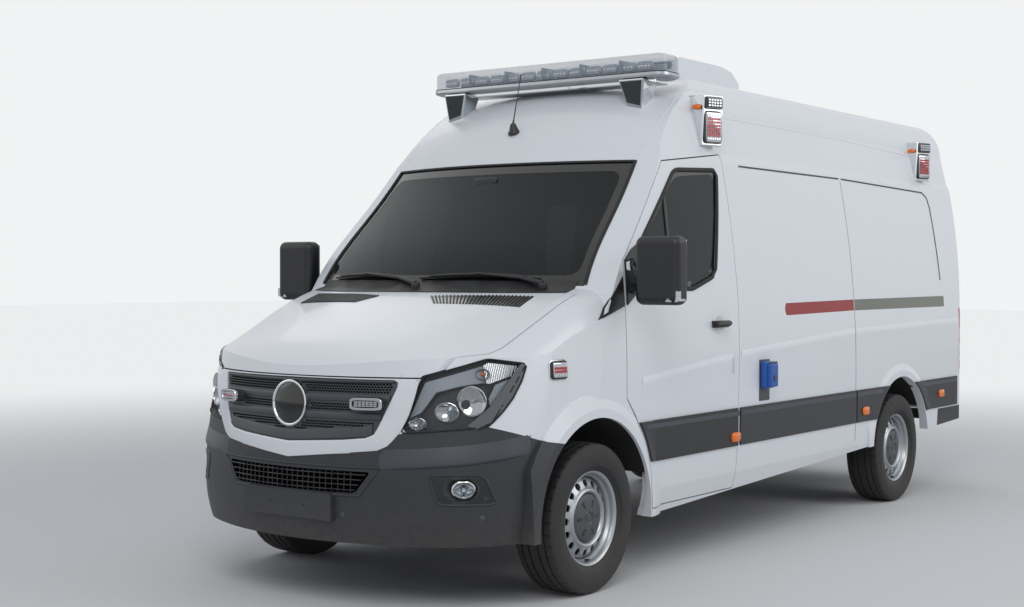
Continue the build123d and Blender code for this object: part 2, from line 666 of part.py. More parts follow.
with BuildPart() as rear_axle:
    add(cross_cylinder(WHEELBASE, AXLE_Z, 45, -TRACK / 2, TRACK / 2))
    add(both_sides(cross_cylinder(WHEELBASE, AXLE_Z, 62, 700, TRACK / 2 + DISC_FACE - SEAT_GAP)))
    add(both_sides(cross_cylinder(WHEELBASE, AXLE_Z, DISC_R, 810, 836)))
    add(cross_cylinder(WHEELBASE, AXLE_Z, 138, -95, 95))
    add(both_sides(side_prism(
        [(WHEELBASE - 700, 470), (WHEELBASE - 60, 398), (WHEELBASE + 60, 398), (WHEELBASE + 640, 470),
         (WHEELBASE + 640, 500), (WHEELBASE + 60, 428), (WHEELBASE - 60, 428), (WHEELBASE - 700, 500)],
        x_from=520, x_to=590)))
    add(both_sides(slab(380, 400, WHEELBASE - 60, WHEELBASE + 60, 520, 590)))
    add(both_sides(slab(470, FLOOR_Z - SEAT_GAP, WHEELBASE - 700, WHEELBASE - 660, 520, 590)))
    add(both_sides(slab(470, FLOOR_Z - SEAT_GAP, WHEELBASE + 600, WHEELBASE + 640, 520, 590)))

with BuildPart() as left_knuckle:
    with BuildSketch(Plane.XY.offset(210)):
        with Locations((KINGPIN_X, AXLE_F)):
            Circle(26)
    extrude(amount=290)
    add(cross_cylinder(0, AXLE_Z, 62, KINGPIN_X, TRACK / 2 + DISC_FACE - SEAT_GAP))
    add(cross_cylinder(0, AXLE_Z, DISC_R, 810, 836))
    add(slab(440, 500, -32, 32, KINGPIN_X - 85, KINGPIN_X))
    with BuildSketch(Plane.XY.offset(440)):
        with Locations((KINGPIN_X - 85, AXLE_F)):
            Circle(30)
    extrude(amount=365)
with BuildPart() as right_knuckle:
    mirror(left_knuckle.part, about=Plane.YZ)

# ---- wheels ---------------------------------------------------------------------------------------
RIM_HOLES, RIM_HOLE_R = 16, 14.0
TYRE_PROFILE = [(-79, 205.3), (-79, 223), (-TYRE_W / 2, 275), (-106, 336), (-78, TYRE_R)]
RIM_PROFILE = [(-89, 220), (-80, 205), (-52, 203), (-40, 184), (28, 184), (52, 203), (80, 205), (89, 220), (89, 212),
               (84, 199), (44, 178), (44, 114), (62, 84), (62, 0), (54, 0), (54, 80), (36, 110), (36, 178), (-43, 178),
               (-84, 199), (-89, 212)]
hub_plane = Plane(origin=(TRACK / 2, AXLE_F, AXLE_Z), x_dir=(1, 0, 0), z_dir=(0, -1, 0))
wheel_axis = Axis((TRACK / 2, AXLE_F, AXLE_Z), (1, 0, 0))
with BuildPart() as tyre:
    with BuildSketch(hub_plane):
        with BuildLine():
            half = Polyline(*TYRE_PROFILE, (0, TYRE_R))
            mirror(half, about=Plane.YZ)
            Line((-79, 205.3), (79, 205.3))
        make_face()
    revolve(axis=wheel_axis)
with BuildPart() as rim:
    with BuildSketch(hub_plane):
        with BuildLine():
            Polyline(*RIM_PROFILE, close=True)
        make_face()
    revolve(axis=wheel_axis)
    with BuildSketch(Plane(origin=(TRACK / 2, AXLE_F, AXLE_Z), x_dir=(0, 1, 0), z_dir=(1, 0, 0))):
        with PolarLocations(148, RIM_HOLES):
            Circle(RIM_HOLE_R)
    extrude(amount=120, mode=Mode.SUBTRACT)


def moved(piece, dy):
    """Copy of a piece moved along the vehicle."""
    with BuildPart() as copy:
        with Locations((0, dy, 0)):
            add(piece)
    return copy


front_left_tyre, front_left_rim = tyre, rim
with BuildPart() as front_right_tyre:
    mirror(tyre.part, about=Plane.YZ)
with BuildPart() as front_right_rim:
    mirror(rim.part, about=Plane.YZ)
rear_left_tyre, rear_left_rim = moved(tyre.part, WHEELBASE), moved(rim.part, WHEELBASE)
rear_right_tyre, rear_right_rim = moved(front_right_tyre.part, WHEELBASE), moved(front_right_rim.part, WHEELBASE)

# ---- roof equipment and trim ----------------------------------------------------------------------
BAR_HALF, BAR_S, BAR_DEPTH = 770.0, 945.0, 225.0
with BuildPart() as light_bar_base:
    with BuildSketch(Plane.XY.offset(2512)):
        with Locations((0, aft(BAR_S + BAR_DEPTH / 2))):
            RectangleRounded(2 * BAR_HALF, BAR_DEPTH, 60)
    extrude(amount=26)
    add(both_sides(slab(2250, 2513, 800, 1060, 565, 675)))
    add(form, mode=Mode.SUBTRACT)
with BuildPart() as light_bar_lens:
    with BuildSketch(Plane.XY.offset(2538.3)):
        with Locations((0, aft(BAR_S + BAR_DEPTH / 2))):
            RectangleRounded(2 * BAR_HALF - 16, BAR_DEPTH - 16, 56)
    extrude(amount=98)
    fillet(light_bar_lens.faces().sort_by(Axis.Z)[-1].edges(), 24)
with BuildPart() as roof_air_unit:
    add(side_prism([(1620, 2500), (1640, 2700), (1700, 2722), (2200, 2722), (2330, 2700), (2420, 2640), (2440, 2500)],
                   x_from=-440, x_to=440))
    add(form, mode=Mode.SUBTRACT)
with BuildPart() as corner_lamps:
    for s, z in ((1240, 2165), (4270, 2135)):
        add(both_sides(side_prism([(s, z), (s + 10, z + 262), (s + 125, z + 272), (s + 125, z + 10)], x_from=770, x_to=892)))
    add(form, mode=Mode.SUBTRACT)

STRIPS = [(1402, 2865), (2895, 3160), (4170, 4640)]
with BuildPart() as body_strips:
    for s_from, s_to in STRIPS:
        add(both_sides(slab(STRIP_LOW, STRIP_HIGH, s_from, s_to, HALF_W + SEAT_GAP, HALF_W + STRIP_OUT)))
    add(hull.part, mode=Mode.SUBTRACT)
with BuildPart() as mirror_head:
    add(slab(1337, 1660, 215, 325, 1042, 1284))
    fillet(mirror_head.edges(), 38)
    add(slab(1400, 1470, 290, 345, 1000, 1060))
    add(minus(slab(1400, 1500, 285, 395, 900, 1010), form))
with BuildPart() as left_front_trim:
    add(mirror_head.part)
    add(minus(slab(STRIP_LOW, STRIP_HIGH, 500, 1370, HALF_W + SEAT_GAP, HALF_W + STRIP_OUT), hull.part))
    add(minus(slab(1205, 1240, 1110, 1250, 940, 1000), form))

with BuildPart() as right_front_door:
    mirror(left_front_door.part, about=Plane.YZ)
with BuildPart() as right_front_glass:
    mirror(left_front_glass.part, about=Plane.YZ)
with BuildPart() as right_front_trim:
    mirror(left_front_trim.part, about=Plane.YZ)
with BuildPart() as right_rear_door:
    mirror(left_rear_door.part, about=Plane.YZ)
with BuildPart() as right_rear_glass:
    mirror(left_rear_glass.part, about=Plane.YZ)

NODES = {
    "floor_pan": floor_pan, "chassis": chassis,
    "rear_axle": rear_axle, "front_panels": front_panels, "bonnet": bonnet, "front_bumper": front_bumper,
    "grille": grille, "headlamps": headlamps, "headlamp_housings": headlamp_housings, "cab_frame": cab_frame,
    "body_glass": body_glass, "roof_panel": roof_panel, "left_side_panel": left_side_panel,
    "right_side_panel": right_side_panel, "sliding_door": sliding_door,
    "rear_bumper": rear_bumper, "tail_lamps": tail_lamps, "body_strips": body_strips, "bulkheads": bulkheads,
    "dashboard": dashboard, "cab_seats": cab_seats,
    "light_bar_base": light_bar_base, "light_bar_lens": light_bar_lens, "roof_air_unit": roof_air_unit,
    "corner_lamps": corner_lamps,
    "left_front_door": left_front_door, "left_front_glass": left_front_glass, "left_front_trim": left_front_trim,
    "right_front_door": right_front_door, "right_front_glass": right_front_glass,
    "right_front_trim": right_front_trim,
    "left_rear_door": left_rear_door, "left_rear_glass": left_rear_glass,
    "right_rear_door": right_rear_door, "right_rear_glass": right_rear_glass,
    "left_knuckle": left_knuckle, "right_knuckle": right_knuckle,
    "front_left_tyre": front_left_tyre, "front_left_rim": front_left_rim,
    "front_right_tyre": front_right_tyre, "front_right_rim": front_right_rim,
    "rear_left_tyre": rear_left_tyre, "rear_left_rim": rear_left_rim,
    "rear_right_tyre": rear_right_tyre, "rear_right_rim": rear_right_rim,
}
os.makedirs("parts", exist_ok=True)
for name, piece in NODES.items():
    piece.part.label = name
    export_step(piece.part, f"parts/{name}.step")
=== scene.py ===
import json
import math

import bmesh
import bpy
import numpy as np
from mathutils import Matrix, Vector
from mathutils.bvhtree import BVHTree
from mathutils.geometry import delaunay_2d_cdt


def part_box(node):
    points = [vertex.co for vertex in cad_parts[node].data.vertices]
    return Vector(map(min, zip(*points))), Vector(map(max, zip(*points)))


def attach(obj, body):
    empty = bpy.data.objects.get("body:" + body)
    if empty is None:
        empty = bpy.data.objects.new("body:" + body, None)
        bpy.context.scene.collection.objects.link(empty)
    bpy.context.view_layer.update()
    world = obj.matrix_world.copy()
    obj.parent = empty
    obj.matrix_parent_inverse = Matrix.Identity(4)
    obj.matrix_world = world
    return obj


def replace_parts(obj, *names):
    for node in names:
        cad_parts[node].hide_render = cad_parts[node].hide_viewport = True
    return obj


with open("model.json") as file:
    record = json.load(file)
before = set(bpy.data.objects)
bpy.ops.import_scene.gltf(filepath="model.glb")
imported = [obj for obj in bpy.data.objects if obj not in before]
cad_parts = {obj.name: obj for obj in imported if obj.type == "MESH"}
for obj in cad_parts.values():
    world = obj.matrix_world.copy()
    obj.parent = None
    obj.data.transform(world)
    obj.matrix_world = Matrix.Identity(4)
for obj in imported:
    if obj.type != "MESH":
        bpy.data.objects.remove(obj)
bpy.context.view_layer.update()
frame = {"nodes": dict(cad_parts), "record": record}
NODES = frame["nodes"]

# ---- sizes shared with the frame, in metres ----
AXLE_F, WHEELBASE, AXLE_Z = -1.935, 3.665, 0.351
HALF_TRACK = 0.86

# view kind, sign of X and name of each side
SIDES = (("L", 1, "left"), ("R", -1, "right"))
PAIR = ((1, "left"), (-1, "right"))


def aft(s):
    """Row y of a station s metres behind the front axle."""
    return AXLE_F + s


def row(x, s, z):
    """Point at a station."""
    return Vector((x, aft(s), z))


# ---- materials ----
MATS = {}
DUST = "8f8676"


def srgb(h):
    """Linear colour from a hex string."""
    c = [int(h[i:i + 2], 16) / 255 for i in (0, 2, 4)]
    return [x / 12.92 if x <= 0.04045 else ((x + 0.055) / 1.055) ** 2.4 for x in c]


def node_maker(tree):
    """Functions that make a node with its inputs set, and a link, in a node tree."""
    def node(kind, **inputs):
        made = tree.nodes.new("ShaderNode" + kind)
        for key, value in inputs.items():
            made.inputs[key.replace("_", " ")].default_value = value
        return made

    return node, tree.links.new


def material(name, color, rough=0.5, metal=0.0, vary=0.06, scale=6.0, grain=0.0, grain_scale=400.0, coat=0.0,
             alpha=1.0, spec=0.5, dirt=0.0, dirt_top=0.55, sheen=0.0, wave=None):
    """A shader with colour variation, fine grain as bump and, where asked, road dust low on the vehicle.

    wave is (direction of the bands, scale, height)."""
    m = bpy.data.materials.new(name)
    m.use_nodes = True
    node, link = node_maker(m.node_tree)
    shader = m.node_tree.nodes["Principled BSDF"]
    where = node("TexCoord").outputs["Object"]
    big = node("TexNoise", Scale=scale, Detail=5.0)
    link(where, big.inputs["Vector"])
    mix = node("Mix")
    mix.data_type = "RGBA"
    for socket, share in ((6, 1 - vary), (7, 1 + vary)):
        mix.inputs[socket].default_value = [min(1, c * share) for c in srgb(color)] + [1]
    link(big.outputs["Fac"], mix.inputs[0])
    last = mix.outputs[2]
    if dirt:
        height = node("SeparateXYZ")
        link(where, height.inputs[0])
        ramp = node("MapRange", From_Min=dirt_top, From_Max=0.1, To_Min=0.0, To_Max=dirt)
        link(height.outputs["Z"], ramp.inputs["Value"])
        grit = node("TexNoise", Scale=28.0, Detail=8.0)
        link(where, grit.inputs["Vector"])
        amount = node("Math")
        amount.operation = "MULTIPLY"
        link(ramp.outputs[0], amount.inputs[0])
        link(grit.outputs["Fac"], amount.inputs[1])
        dust = node("Mix")
        dust.data_type = "RGBA"
        dust.inputs[7].default_value = srgb(DUST) + [1]
        link(amount.outputs[0], dust.inputs[0])
        link(last, dust.inputs[6])
        last = dust.outputs[2]
    link(last, shader.inputs["Base Color"])
    gloss = node("MapRange", To_Min=max(0.02, rough - 0.05), To_Max=min(1.0, rough + 0.06))
    link(big.outputs["Fac"], gloss.inputs["Value"])
    link(gloss.outputs[0], shader.inputs["Roughness"])
    for key, value in (("Metallic", metal), ("Specular IOR Level", spec), ("IOR", 1.5), ("Coat Weight", coat),
                       ("Coat Roughness", 0.05), ("Alpha", alpha), ("Sheen Weight", sheen)):
        shader.inputs[key].default_value = value
    if wave:
        bands = node("TexWave", Scale=wave[1], Distortion=0.0)
        bands.bands_direction = wave[0]
    elif grain:
        bands = node("TexNoise", Scale=grain_scale, Detail=4.0)
    if wave or grain:
        link(where, bands.inputs["Vector"])
        bump = node("Bump", Strength=1.0, Distance=wave[2] if wave else grain)
        link(bands.outputs["Fac"], bump.inputs["Height"])
        link(bump.outputs[0], shader.inputs["Normal"])
    MATS[name] = m


material("white_paint", "dfe3e8", rough=0.34, coat=0.25, vary=0.015, scale=2.0, grain=0.00002, grain_scale=900,
         dirt=0.25)
material("dark_plastic", "2b2d32", rough=0.52, vary=0.08, scale=9, grain=0.00006, grain_scale=1400, dirt=0.35)
material("black_plastic", "17181a", rough=0.45, vary=0.08, grain=0.00004, grain_scale=1600)
material("gloss_black", "0b0c0d", rough=0.12, vary=0.03, coat=0.5)
material("seal_rubber", "101112", rough=0.7, vary=0.1, grain=0.00003, grain_scale=1200)
material("clear_lens", "30363c", rough=0.02, vary=0.01, alpha=0.12, spec=0.8)
material("bar_lens", "8d9aa8", rough=0.05, vary=0.02, alpha=0.34, spec=1.0, wave=("X", 26.0, 0.0008))
# lighter copy of the dark plastic, a painted highlight on raised bevels and the bumper shoulder
material("strip_edge_highlight", "3d4047", rough=0.42, vary=0.06, grain=0.00004, grain_scale=1400)
material("bar_rib", "8f9aa6", rough=0.2, vary=0.05)
# dark green-grey metal that paints the reflection seen in the chrome feet's front faces
material("painted_reflection_mirror", "4a5452", rough=0.1, metal=0.7, vary=0.05)
# matte black that paints the shade seen through holes and inside openings
material("hole_shade_black", "050506", rough=0.95, vary=0.05, spec=0.0)
material("grille_dark", "3f4247", rough=0.42, vary=0.06, grain=0.00004, grain_scale=1500)
material("red_lens", "a40d10", rough=0.12, vary=0.05, coat=0.8, wave=("Z", 45.0, 0.0004))
material("amber_lens", "ee7206", rough=0.16, vary=0.05, coat=0.2, wave=("X", 70.0, 0.0003))
material("led_red", "b3161c", rough=0.15, vary=0.1, coat=0.6, grain=0.0004, grain_scale=160)
material("led_clear", "c9ced2", rough=0.12, metal=0.7, vary=0.12, grain=0.0006, grain_scale=140)
material("lamp_housing", "36393d", rough=0.35, vary=0.08)
material("reflector", "c8ccd0", rough=0.07, metal=1.0, vary=0.03)
material("tinted_glass", "0c1419", rough=0.03, vary=0.02, alpha=0.74, spec=0.35)
material("underbody_black", "1c1c1d", rough=0.75, vary=0.12, grain=0.0003, grain_scale=220)
material("chassis_steel", "202022", rough=0.55, metal=0.2, vary=0.1, grain=0.0002, grain_scale=180, dirt=0.3)
material("cast_metal", "6a665f", rough=0.6, metal=0.7, vary=0.2, grain=0.0003, grain_scale=260)
material("inner_grey", "9b9d9e", rough=0.6, vary=0.05, grain=0.00006, grain_scale=500)
material("cabin_plastic", "232427", rough=0.6, vary=0.08, grain=0.0001, grain_scale=900)
material("seat_fabric", "24262b", rough=0.95, vary=0.15, scale=30, grain=0.0005, grain_scale=700, sheen=0.4)
material("bright_metal", "d6d9dc", rough=0.09, metal=1.0, vary=0.02)
material("brushed_metal", "aeb2b6", rough=0.28, metal=1.0, vary=0.05)
material("tyre_rubber", "232324", rough=0.68, vary=0.12, scale=12, grain=0.0002, grain_scale=500, dirt=0.1,
         dirt_top=0.5)
material("wheel_silver", "a9adb1", rough=0.34, metal=0.75, vary=0.05, grain=0.00004, grain_scale=300)
material("cap_grey", "4b4e52", rough=0.5, metal=0.2, vary=0.06, grain=0.00004, grain_scale=900)
material("stripe_red", "901214", rough=0.4, vary=0.03, coat=0.1)
material("stripe_olive", "54574a", rough=0.35, vary=0.04, coat=0.4)
material("inlet_blue", "1f56a8", rough=0.4, vary=0.05, grain=0.00004, grain_scale=900)
material("ribbed_reflector", "c2c6ca", rough=0.1, metal=1.0, vary=0.03, wave=("X", 55.0, 0.0012))
material("smoke_chrome", "a3abb4", rough=0.35, metal=0.35, vary=0.05)
material("lens_smoke", "43484e", rough=0.06, vary=0.04, coat=1.0)
material("radiator", "151617", rough=0.8, vary=0.2, wave=("Z", 160.0, 0.002))

# a node takes the material that its slot names, but for glass and the light bar's cover
LOOKS = {s["node"]: s["material_slot"] for s in frame["record"]["subparts"]}
LOOKS = {node: "tinted_glass" if slot == "glass" else slot for node, slot in LOOKS.items()}
LOOKS["light_bar_lens"] = "bar_lens"
for node, obj in NODES.items():
    obj.data.materials.clear()
    obj.data.materials.append(MATS[LOOKS[node]])

# ---- mesh helpers ----


def add_object(name, data):
    """A new object of the data in the scene."""
    o = bpy.data.objects.new(name, data)
    bpy.context.scene.collection.objects.link(o)
    return o


def from_bmesh(name, bm, mat):
    """A new object of the bmesh, which is freed."""
    me = bpy.data.meshes.new(name)
    bm.to_mesh(me)
    bm.free()
    me.materials.append(MATS[mat])
    return add_object(name, me)


def make(name, verts, faces, mat, body="body"):
    """A mesh object of the given faces that rides on a body."""
    me = bpy.data.meshes.new(name)
    me.from_pydata([tuple(v) for v in verts], [], [tuple(f) for f in faces])
    me.validate()
    bm = bmesh.new()
    bm.from_mesh(me)
    bmesh.ops.remove_doubles(bm, verts=bm.verts, dist=1e-6)
    bmesh.ops.recalc_face_normals(bm, faces=bm.faces)
    bm.to_mesh(me)
    bm.free()
    me.materials.append(MATS[mat])
    o = add_object(name, me)
    if body:
        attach(o, body)
    return o


def sharpen(o, angle):
    """Smooth shading that keeps edges sharper than the angle."""
    me = o.data
    for p in me.polygons:
        p.use_smooth = True
    me.set_sharp_from_angle(angle=math.radians(angle))
    return o


def bevelled(o, width, segments):
    """Bevels the edges sharper than 30 degrees."""
    b = o.modifiers.new("edge", "BEVEL")
    b.width, b.segments, b.limit_method, b.angle_limit = width, segments, "ANGLE", math.radians(30)
    b.harden_normals = False
    return o


def quads(rows, cols, loop_rows=False, loop_cols=False, along=True):
    """Faces of a grid of points; along says that a face's first edge runs to the next row."""
    out = []
    for i in range(rows if loop_rows else rows - 1):
        for j in range(cols if loop_cols else cols - 1):
            near, far, q = i * cols, (i + 1) % rows * cols, (j + 1) % cols
            a, b, c, d = near + j, far + j, far + q, near + q
            out.append((a, b, c, d) if along else (a, d, c, b))
    return out


def ends(rows, cols):
    """Caps over the first and the last row of a closed grid."""
    return [tuple(range(cols))[::-1], tuple(range((rows - 1) * cols, rows * cols))]


class Soup:
    """Collects many small shapes into one mesh."""

    def __init__(self):
        self.v, self.f = [], []

    def add(self, verts, faces):
        base = len(self.v)
        self.v += [Vector(v) for v in verts]
        self.f += [[i + base for i in f] for f in faces]
        return self

    def box(self, lo, hi, m=None):
        """Box between two corners."""
        x0, y0, z0 = lo
        x1, y1, z1 = hi
        v = [Vector(p) for p in ((x0, y0, z0), (x1, y0, z0), (x1, y1, z0), (x0, y1, z0), (x0, y0, z1),
                                 (x1, y0, z1), (x1, y1, z1), (x0, y1, z1))]
        if m is not None:
            v = [m @ p for p in v]
        return self.add(v, [(0, 3, 2, 1), (4, 5, 6, 7), (0, 1, 5, 4), (1, 2, 6, 5), (2, 3, 7, 6), (3, 0, 4, 7)])

    def lathe(self, profile, m=None, seg=32, closed=False):
        """Profile of (radius, height) turned about local Z."""
        n = len(profile)
        v = []
        for k in range(seg):
            a = 2 * math.pi * k / seg
            for r, h in profile:
                p = Vector((r * math.cos(a), r * math.sin(a), h))
                v.append(m @ p if m is not None else p)
        return self.add(v, quads(seg, n, True, closed))

    def prism(self, outline, depth, m=None, inset=0.0, inset_depth=0.0):
        """Outline of (x, y) points raised along local Z, with a chamfered top."""
        n = len(outline)
        c = Vector((sum(p[0] for p in outline) / n, sum(p[1] for p in outline) / n, 0))
        rings = [[Vector((x, y, 0)) for x, y in outline],
                 [Vector((x, y, depth - inset_depth)) for x, y in outline]]
        if inset:
            ring = []
            for x, y in outline:
                d = Vector((x, y, 0)) - c
                k = max(0.0, 1 - inset / max(d.length, 1e-6))
                ring.append(Vector((c.x + d.x * k, c.y + d.y * k, depth)))
            rings.append(ring)
        v = [p for r in rings for p in r]
        if m is not None:
            v = [m @ p for p in v]
        return self.add(v, ends(len(rings), n) + quads(len(rings), n, False, True, False))

    def tube(self, pts, r, seg=10, closed=False):
        """Round tube along the points; r may hold one radius for each."""
        pts = [Vector(p) for p in pts]
        n = len(pts)
        v, ref = [], Vector((0.13, 0.27, 0.95)).normalized()
        for i, p in enumerate(pts):
            a = pts[i - 1] if i or closed else p
            b = pts[(i + 1) % n] if i < n - 1 or closed else p
            t = (b - a).normalized()
            s = t.cross(ref)
            if s.length < 1e-3:
                s = t.cross(Vector((1, 0, 0)))
            s.normalize()
            u = t.cross(s)
            rad = r[i] if isinstance(r, (list, tuple)) else r
            for k in range(seg):
                w = 2 * math.pi * k / seg
                v.append(p + (s * math.cos(w) + u * math.sin(w)) * rad)
        return self.add(v, quads(n, seg, closed, True, False) + ([] if closed else ends(n, seg)))

    def done(self, name, mat, body="body", smooth=None):
        """Makes the mesh; smooth is the angle above which an edge stays sharp."""
        o = make(name, self.v, self.f, mat, body)
        if smooth:
            sharpen(o, smooth)
        return o


def trees(names):
    """One search tree over several frame nodes at rest."""
    v, f = [], []
    for n in names:
        me = NODES[n].data
        base = len(v)
        v += [p.co.copy() for p in me.vertices]
        f += [[i + base for i in p.vertices] for p in me.polygons]
    return BVHTree.FromPolygons(v, f)


SIDE_NODES = ["front_panels", "cab_frame", "left_front_door", "left_side_panel", "roof_panel", "front_bumper",
              "rear_bumper", "right_side_panel", "sliding_door", "right_front_door", "headlamps", "tail_lamps",
              "left_front_glass", "right_front_glass", "body_glass", "bonnet", "left_rear_door",
              "right_rear_door", "left_rear_glass", "right_rear_glass"]
SKIN = trees(SIDE_NODES)


def onto(kind, a, b, tree=None):
    """Point and outward normal where a line of sight meets the skin: kind is L, R, F, B or T."""
    tree = tree or SKIN
    o, d = {"L": (row(3, a, b), Vector((-1, 0, 0))), "R": (row(-3, a, b), Vector((1, 0, 0))),
            "F": (Vector((a, -5, b)), Vector((0, 1, 0))), "B": (Vector((a, 5, b)), Vector((0, -1, 0))),
            "T": (row(a, b, 4), Vector((0, 0, -1)))}[kind]
    hit, normal, _, _ = tree.ray_cast(o, d)
    if hit is None:
        hit, normal, _, _ = tree.find_nearest(o + d * 2.1)
    if normal.dot(d) > 0:
        normal = -normal
    return hit, normal


def rounded(points, radius, seg=5, closed=True):
    """2D outline with its corners rounded."""
    pts = [Vector(p) for p in points]
    n, out = len(pts), []
    for i, p in enumerate(pts):
        if not closed and i in (0, n - 1):
            out.append(p.copy())
            continue
        a, b = pts[i - 1] - p, pts[(i + 1) % n] - p
        r = min(radius, a.length * 0.48, b.length * 0.48)
        a, b = a.normalized() * r, b.normalized() * r
        for k in range(seg + 1):
            t = k / seg
            out.append(p + a * (1 - t) ** 2 + b * t ** 2)
    return out


def dense(points, step, closed=True):
    """Points added along an outline so that no gap is longer than the step."""
    out, n = [], len(points)
    for i in range(n if closed else n - 1):
        a, b = Vector(points[i]), Vector(points[(i + 1) % n])
        k = max(1, int(math.ceil((b - a).length / step)))
        out += [a.lerp(b, j / k) for j in range(k)]
    if not closed:
        out.append(Vector(points[-1]))
    return out


def inside(p, poly):
    """Whether a 2D point lies inside the outline."""
    hit, j = False, len(poly) - 1
    for i in range(len(poly)):
        a, b = poly[i], poly[j]
        if (a[1] > p[1]) != (b[1] > p[1]) and p[0] < (b[0] - a[0]) * (p[1] - a[1]) / (b[1] - a[1]) + a[0]:
            hit = not hit
        j = i
    return hit


def fill(loops, step, gap=0.45, xs=None, ys=None):
    """Triangles inside the first loop and outside the rest, over a grid of points a step apart."""
    def within(q):
        return inside(q, loops[0]) and not any(inside(q, h) for h in loops[1:])

    rim, edges = [], []
    for loop in loops:
        base, n = len(rim), len(loop)
        rim += [Vector((p[0], p[1])) for p in loop]
        edges += [(base + i, base + (i + 1) % n) for i in range(n)]
    if xs is None:
        xs, ys = ([p[i] for p in loops[0]] for i in (0, 1))
        xs, ys = (np.arange(min(c) + step / 2, max(c), step) for c in (xs, ys))
    pts = [Vector((x, y)) for x in xs for y in ys if within((x, y))]
    pts = rim + [q for q in pts if min((q - p).length for p in rim) > step * gap]
    v, _, f, _, _, _ = delaunay_2d_cdt(pts, edges, [], 0, 1e-5)
    return v, [t for t in f if within([sum(v[i][k] for i in t) / len(t) for k in (0, 1)])]


def hem(faces, n):
    """Faces from the open edges of a skin to those of its copy, whose points come n later."""
    edges = {(f[i], f[(i + 1) % len(f)]): 1 for f in faces for i in range(len(f))}
    return [(b, a, a + n, b + n) for a, b in edges if (b, a) not in edges]


# how far skins and bands start above and reach below the surface that they lie on
SKIN_LIFT, SKIN_SINK, RIBBON_SINK = 0.0002, 0.0004, 0.001


def patch(name, kind, outline, mat, body="body", thick=0.0012, step=0.04, holes=(), tree=None):
    """A thin skin of the outline, laid on the surface that the view kind sees."""
    pts, faces = fill([dense(loop, step) for loop in [outline, *holes]], step)
    hits = [onto(kind, p[0], p[1], tree) for p in pts]
    verts = [h + n * (SKIN_LIFT + thick) for h, n in hits] + [h - n * SKIN_SINK for h, n in hits]
    return sharpen(make(name, verts, [tuple(f) for f in faces] + hem(faces, len(pts)), mat, body), 40)


def ribbon(name, kind, points, width, height, mat, body="body", closed=False, step=0.03, tree=None, into=None):
    """A raised band that follows the surface along a path."""
    pts = dense(points, step, closed)
    hits = [onto(kind, p[0], p[1], tree) for p in pts]
    n = len(hits)
    prof = [(-0.5, -RIBBON_SINK), (-0.5, height * 0.55), (-0.36, height), (0.36, height), (0.5, height * 0.55),
            (0.5, -RIBBON_SINK)]
    soup = into or Soup()
    v = []
    for i, (h, nr) in enumerate(hits):
        a = hits[i - 1][0] if i or closed else h
        b = hits[(i + 1) % n][0] if i < n - 1 or closed else h
        t = (b - a).normalized()
        s = t.cross(nr).normalized()
        u = s.cross(t).normalized()
        for w, z in prof:
            v.append(h + s * (w * width) + u * z)
    m = len(prof)
    soup.add(v, quads(n, m, closed, True, False) + ([] if closed else ends(n, m)))
    return soup.done(name, mat, body, smooth=45) if into is None else None


def facing(loc, normal, up=Vector((0, 0, 1))):
    """Matrix that puts local Z on the normal and local Y towards up."""
    z = normal.normalized()
    x = up.cross(z)
    if x.length < 1e-4:
        x = Vector((1, 0, 0))
    x.normalize()
    y = z.cross(x)
    return Matrix.Translation(loc) @ Matrix((x, y, z)).transposed().to_4x4()


def raised(m, height):
    """The placing moved along its own Z."""
    return m @ Matrix.Translation((0, 0, height))


def superellipse(w, h, n=4.0, seg=40):
    """Outline between an ellipse (n = 2) and a rectangle."""
    out = []
    for k in range(seg):
        a = 2 * math.pi * k / seg
        c, s = math.cos(a), math.sin(a)
        out.append((w / 2 * math.copysign(abs(c) ** (2 / n), c), h / 2 * math.copysign(abs(s) ** (2 / n), s)))
    return out


# ---- stage, light and camera ----
BACKDROP = (0.93, 0.94, 0.95, 1)


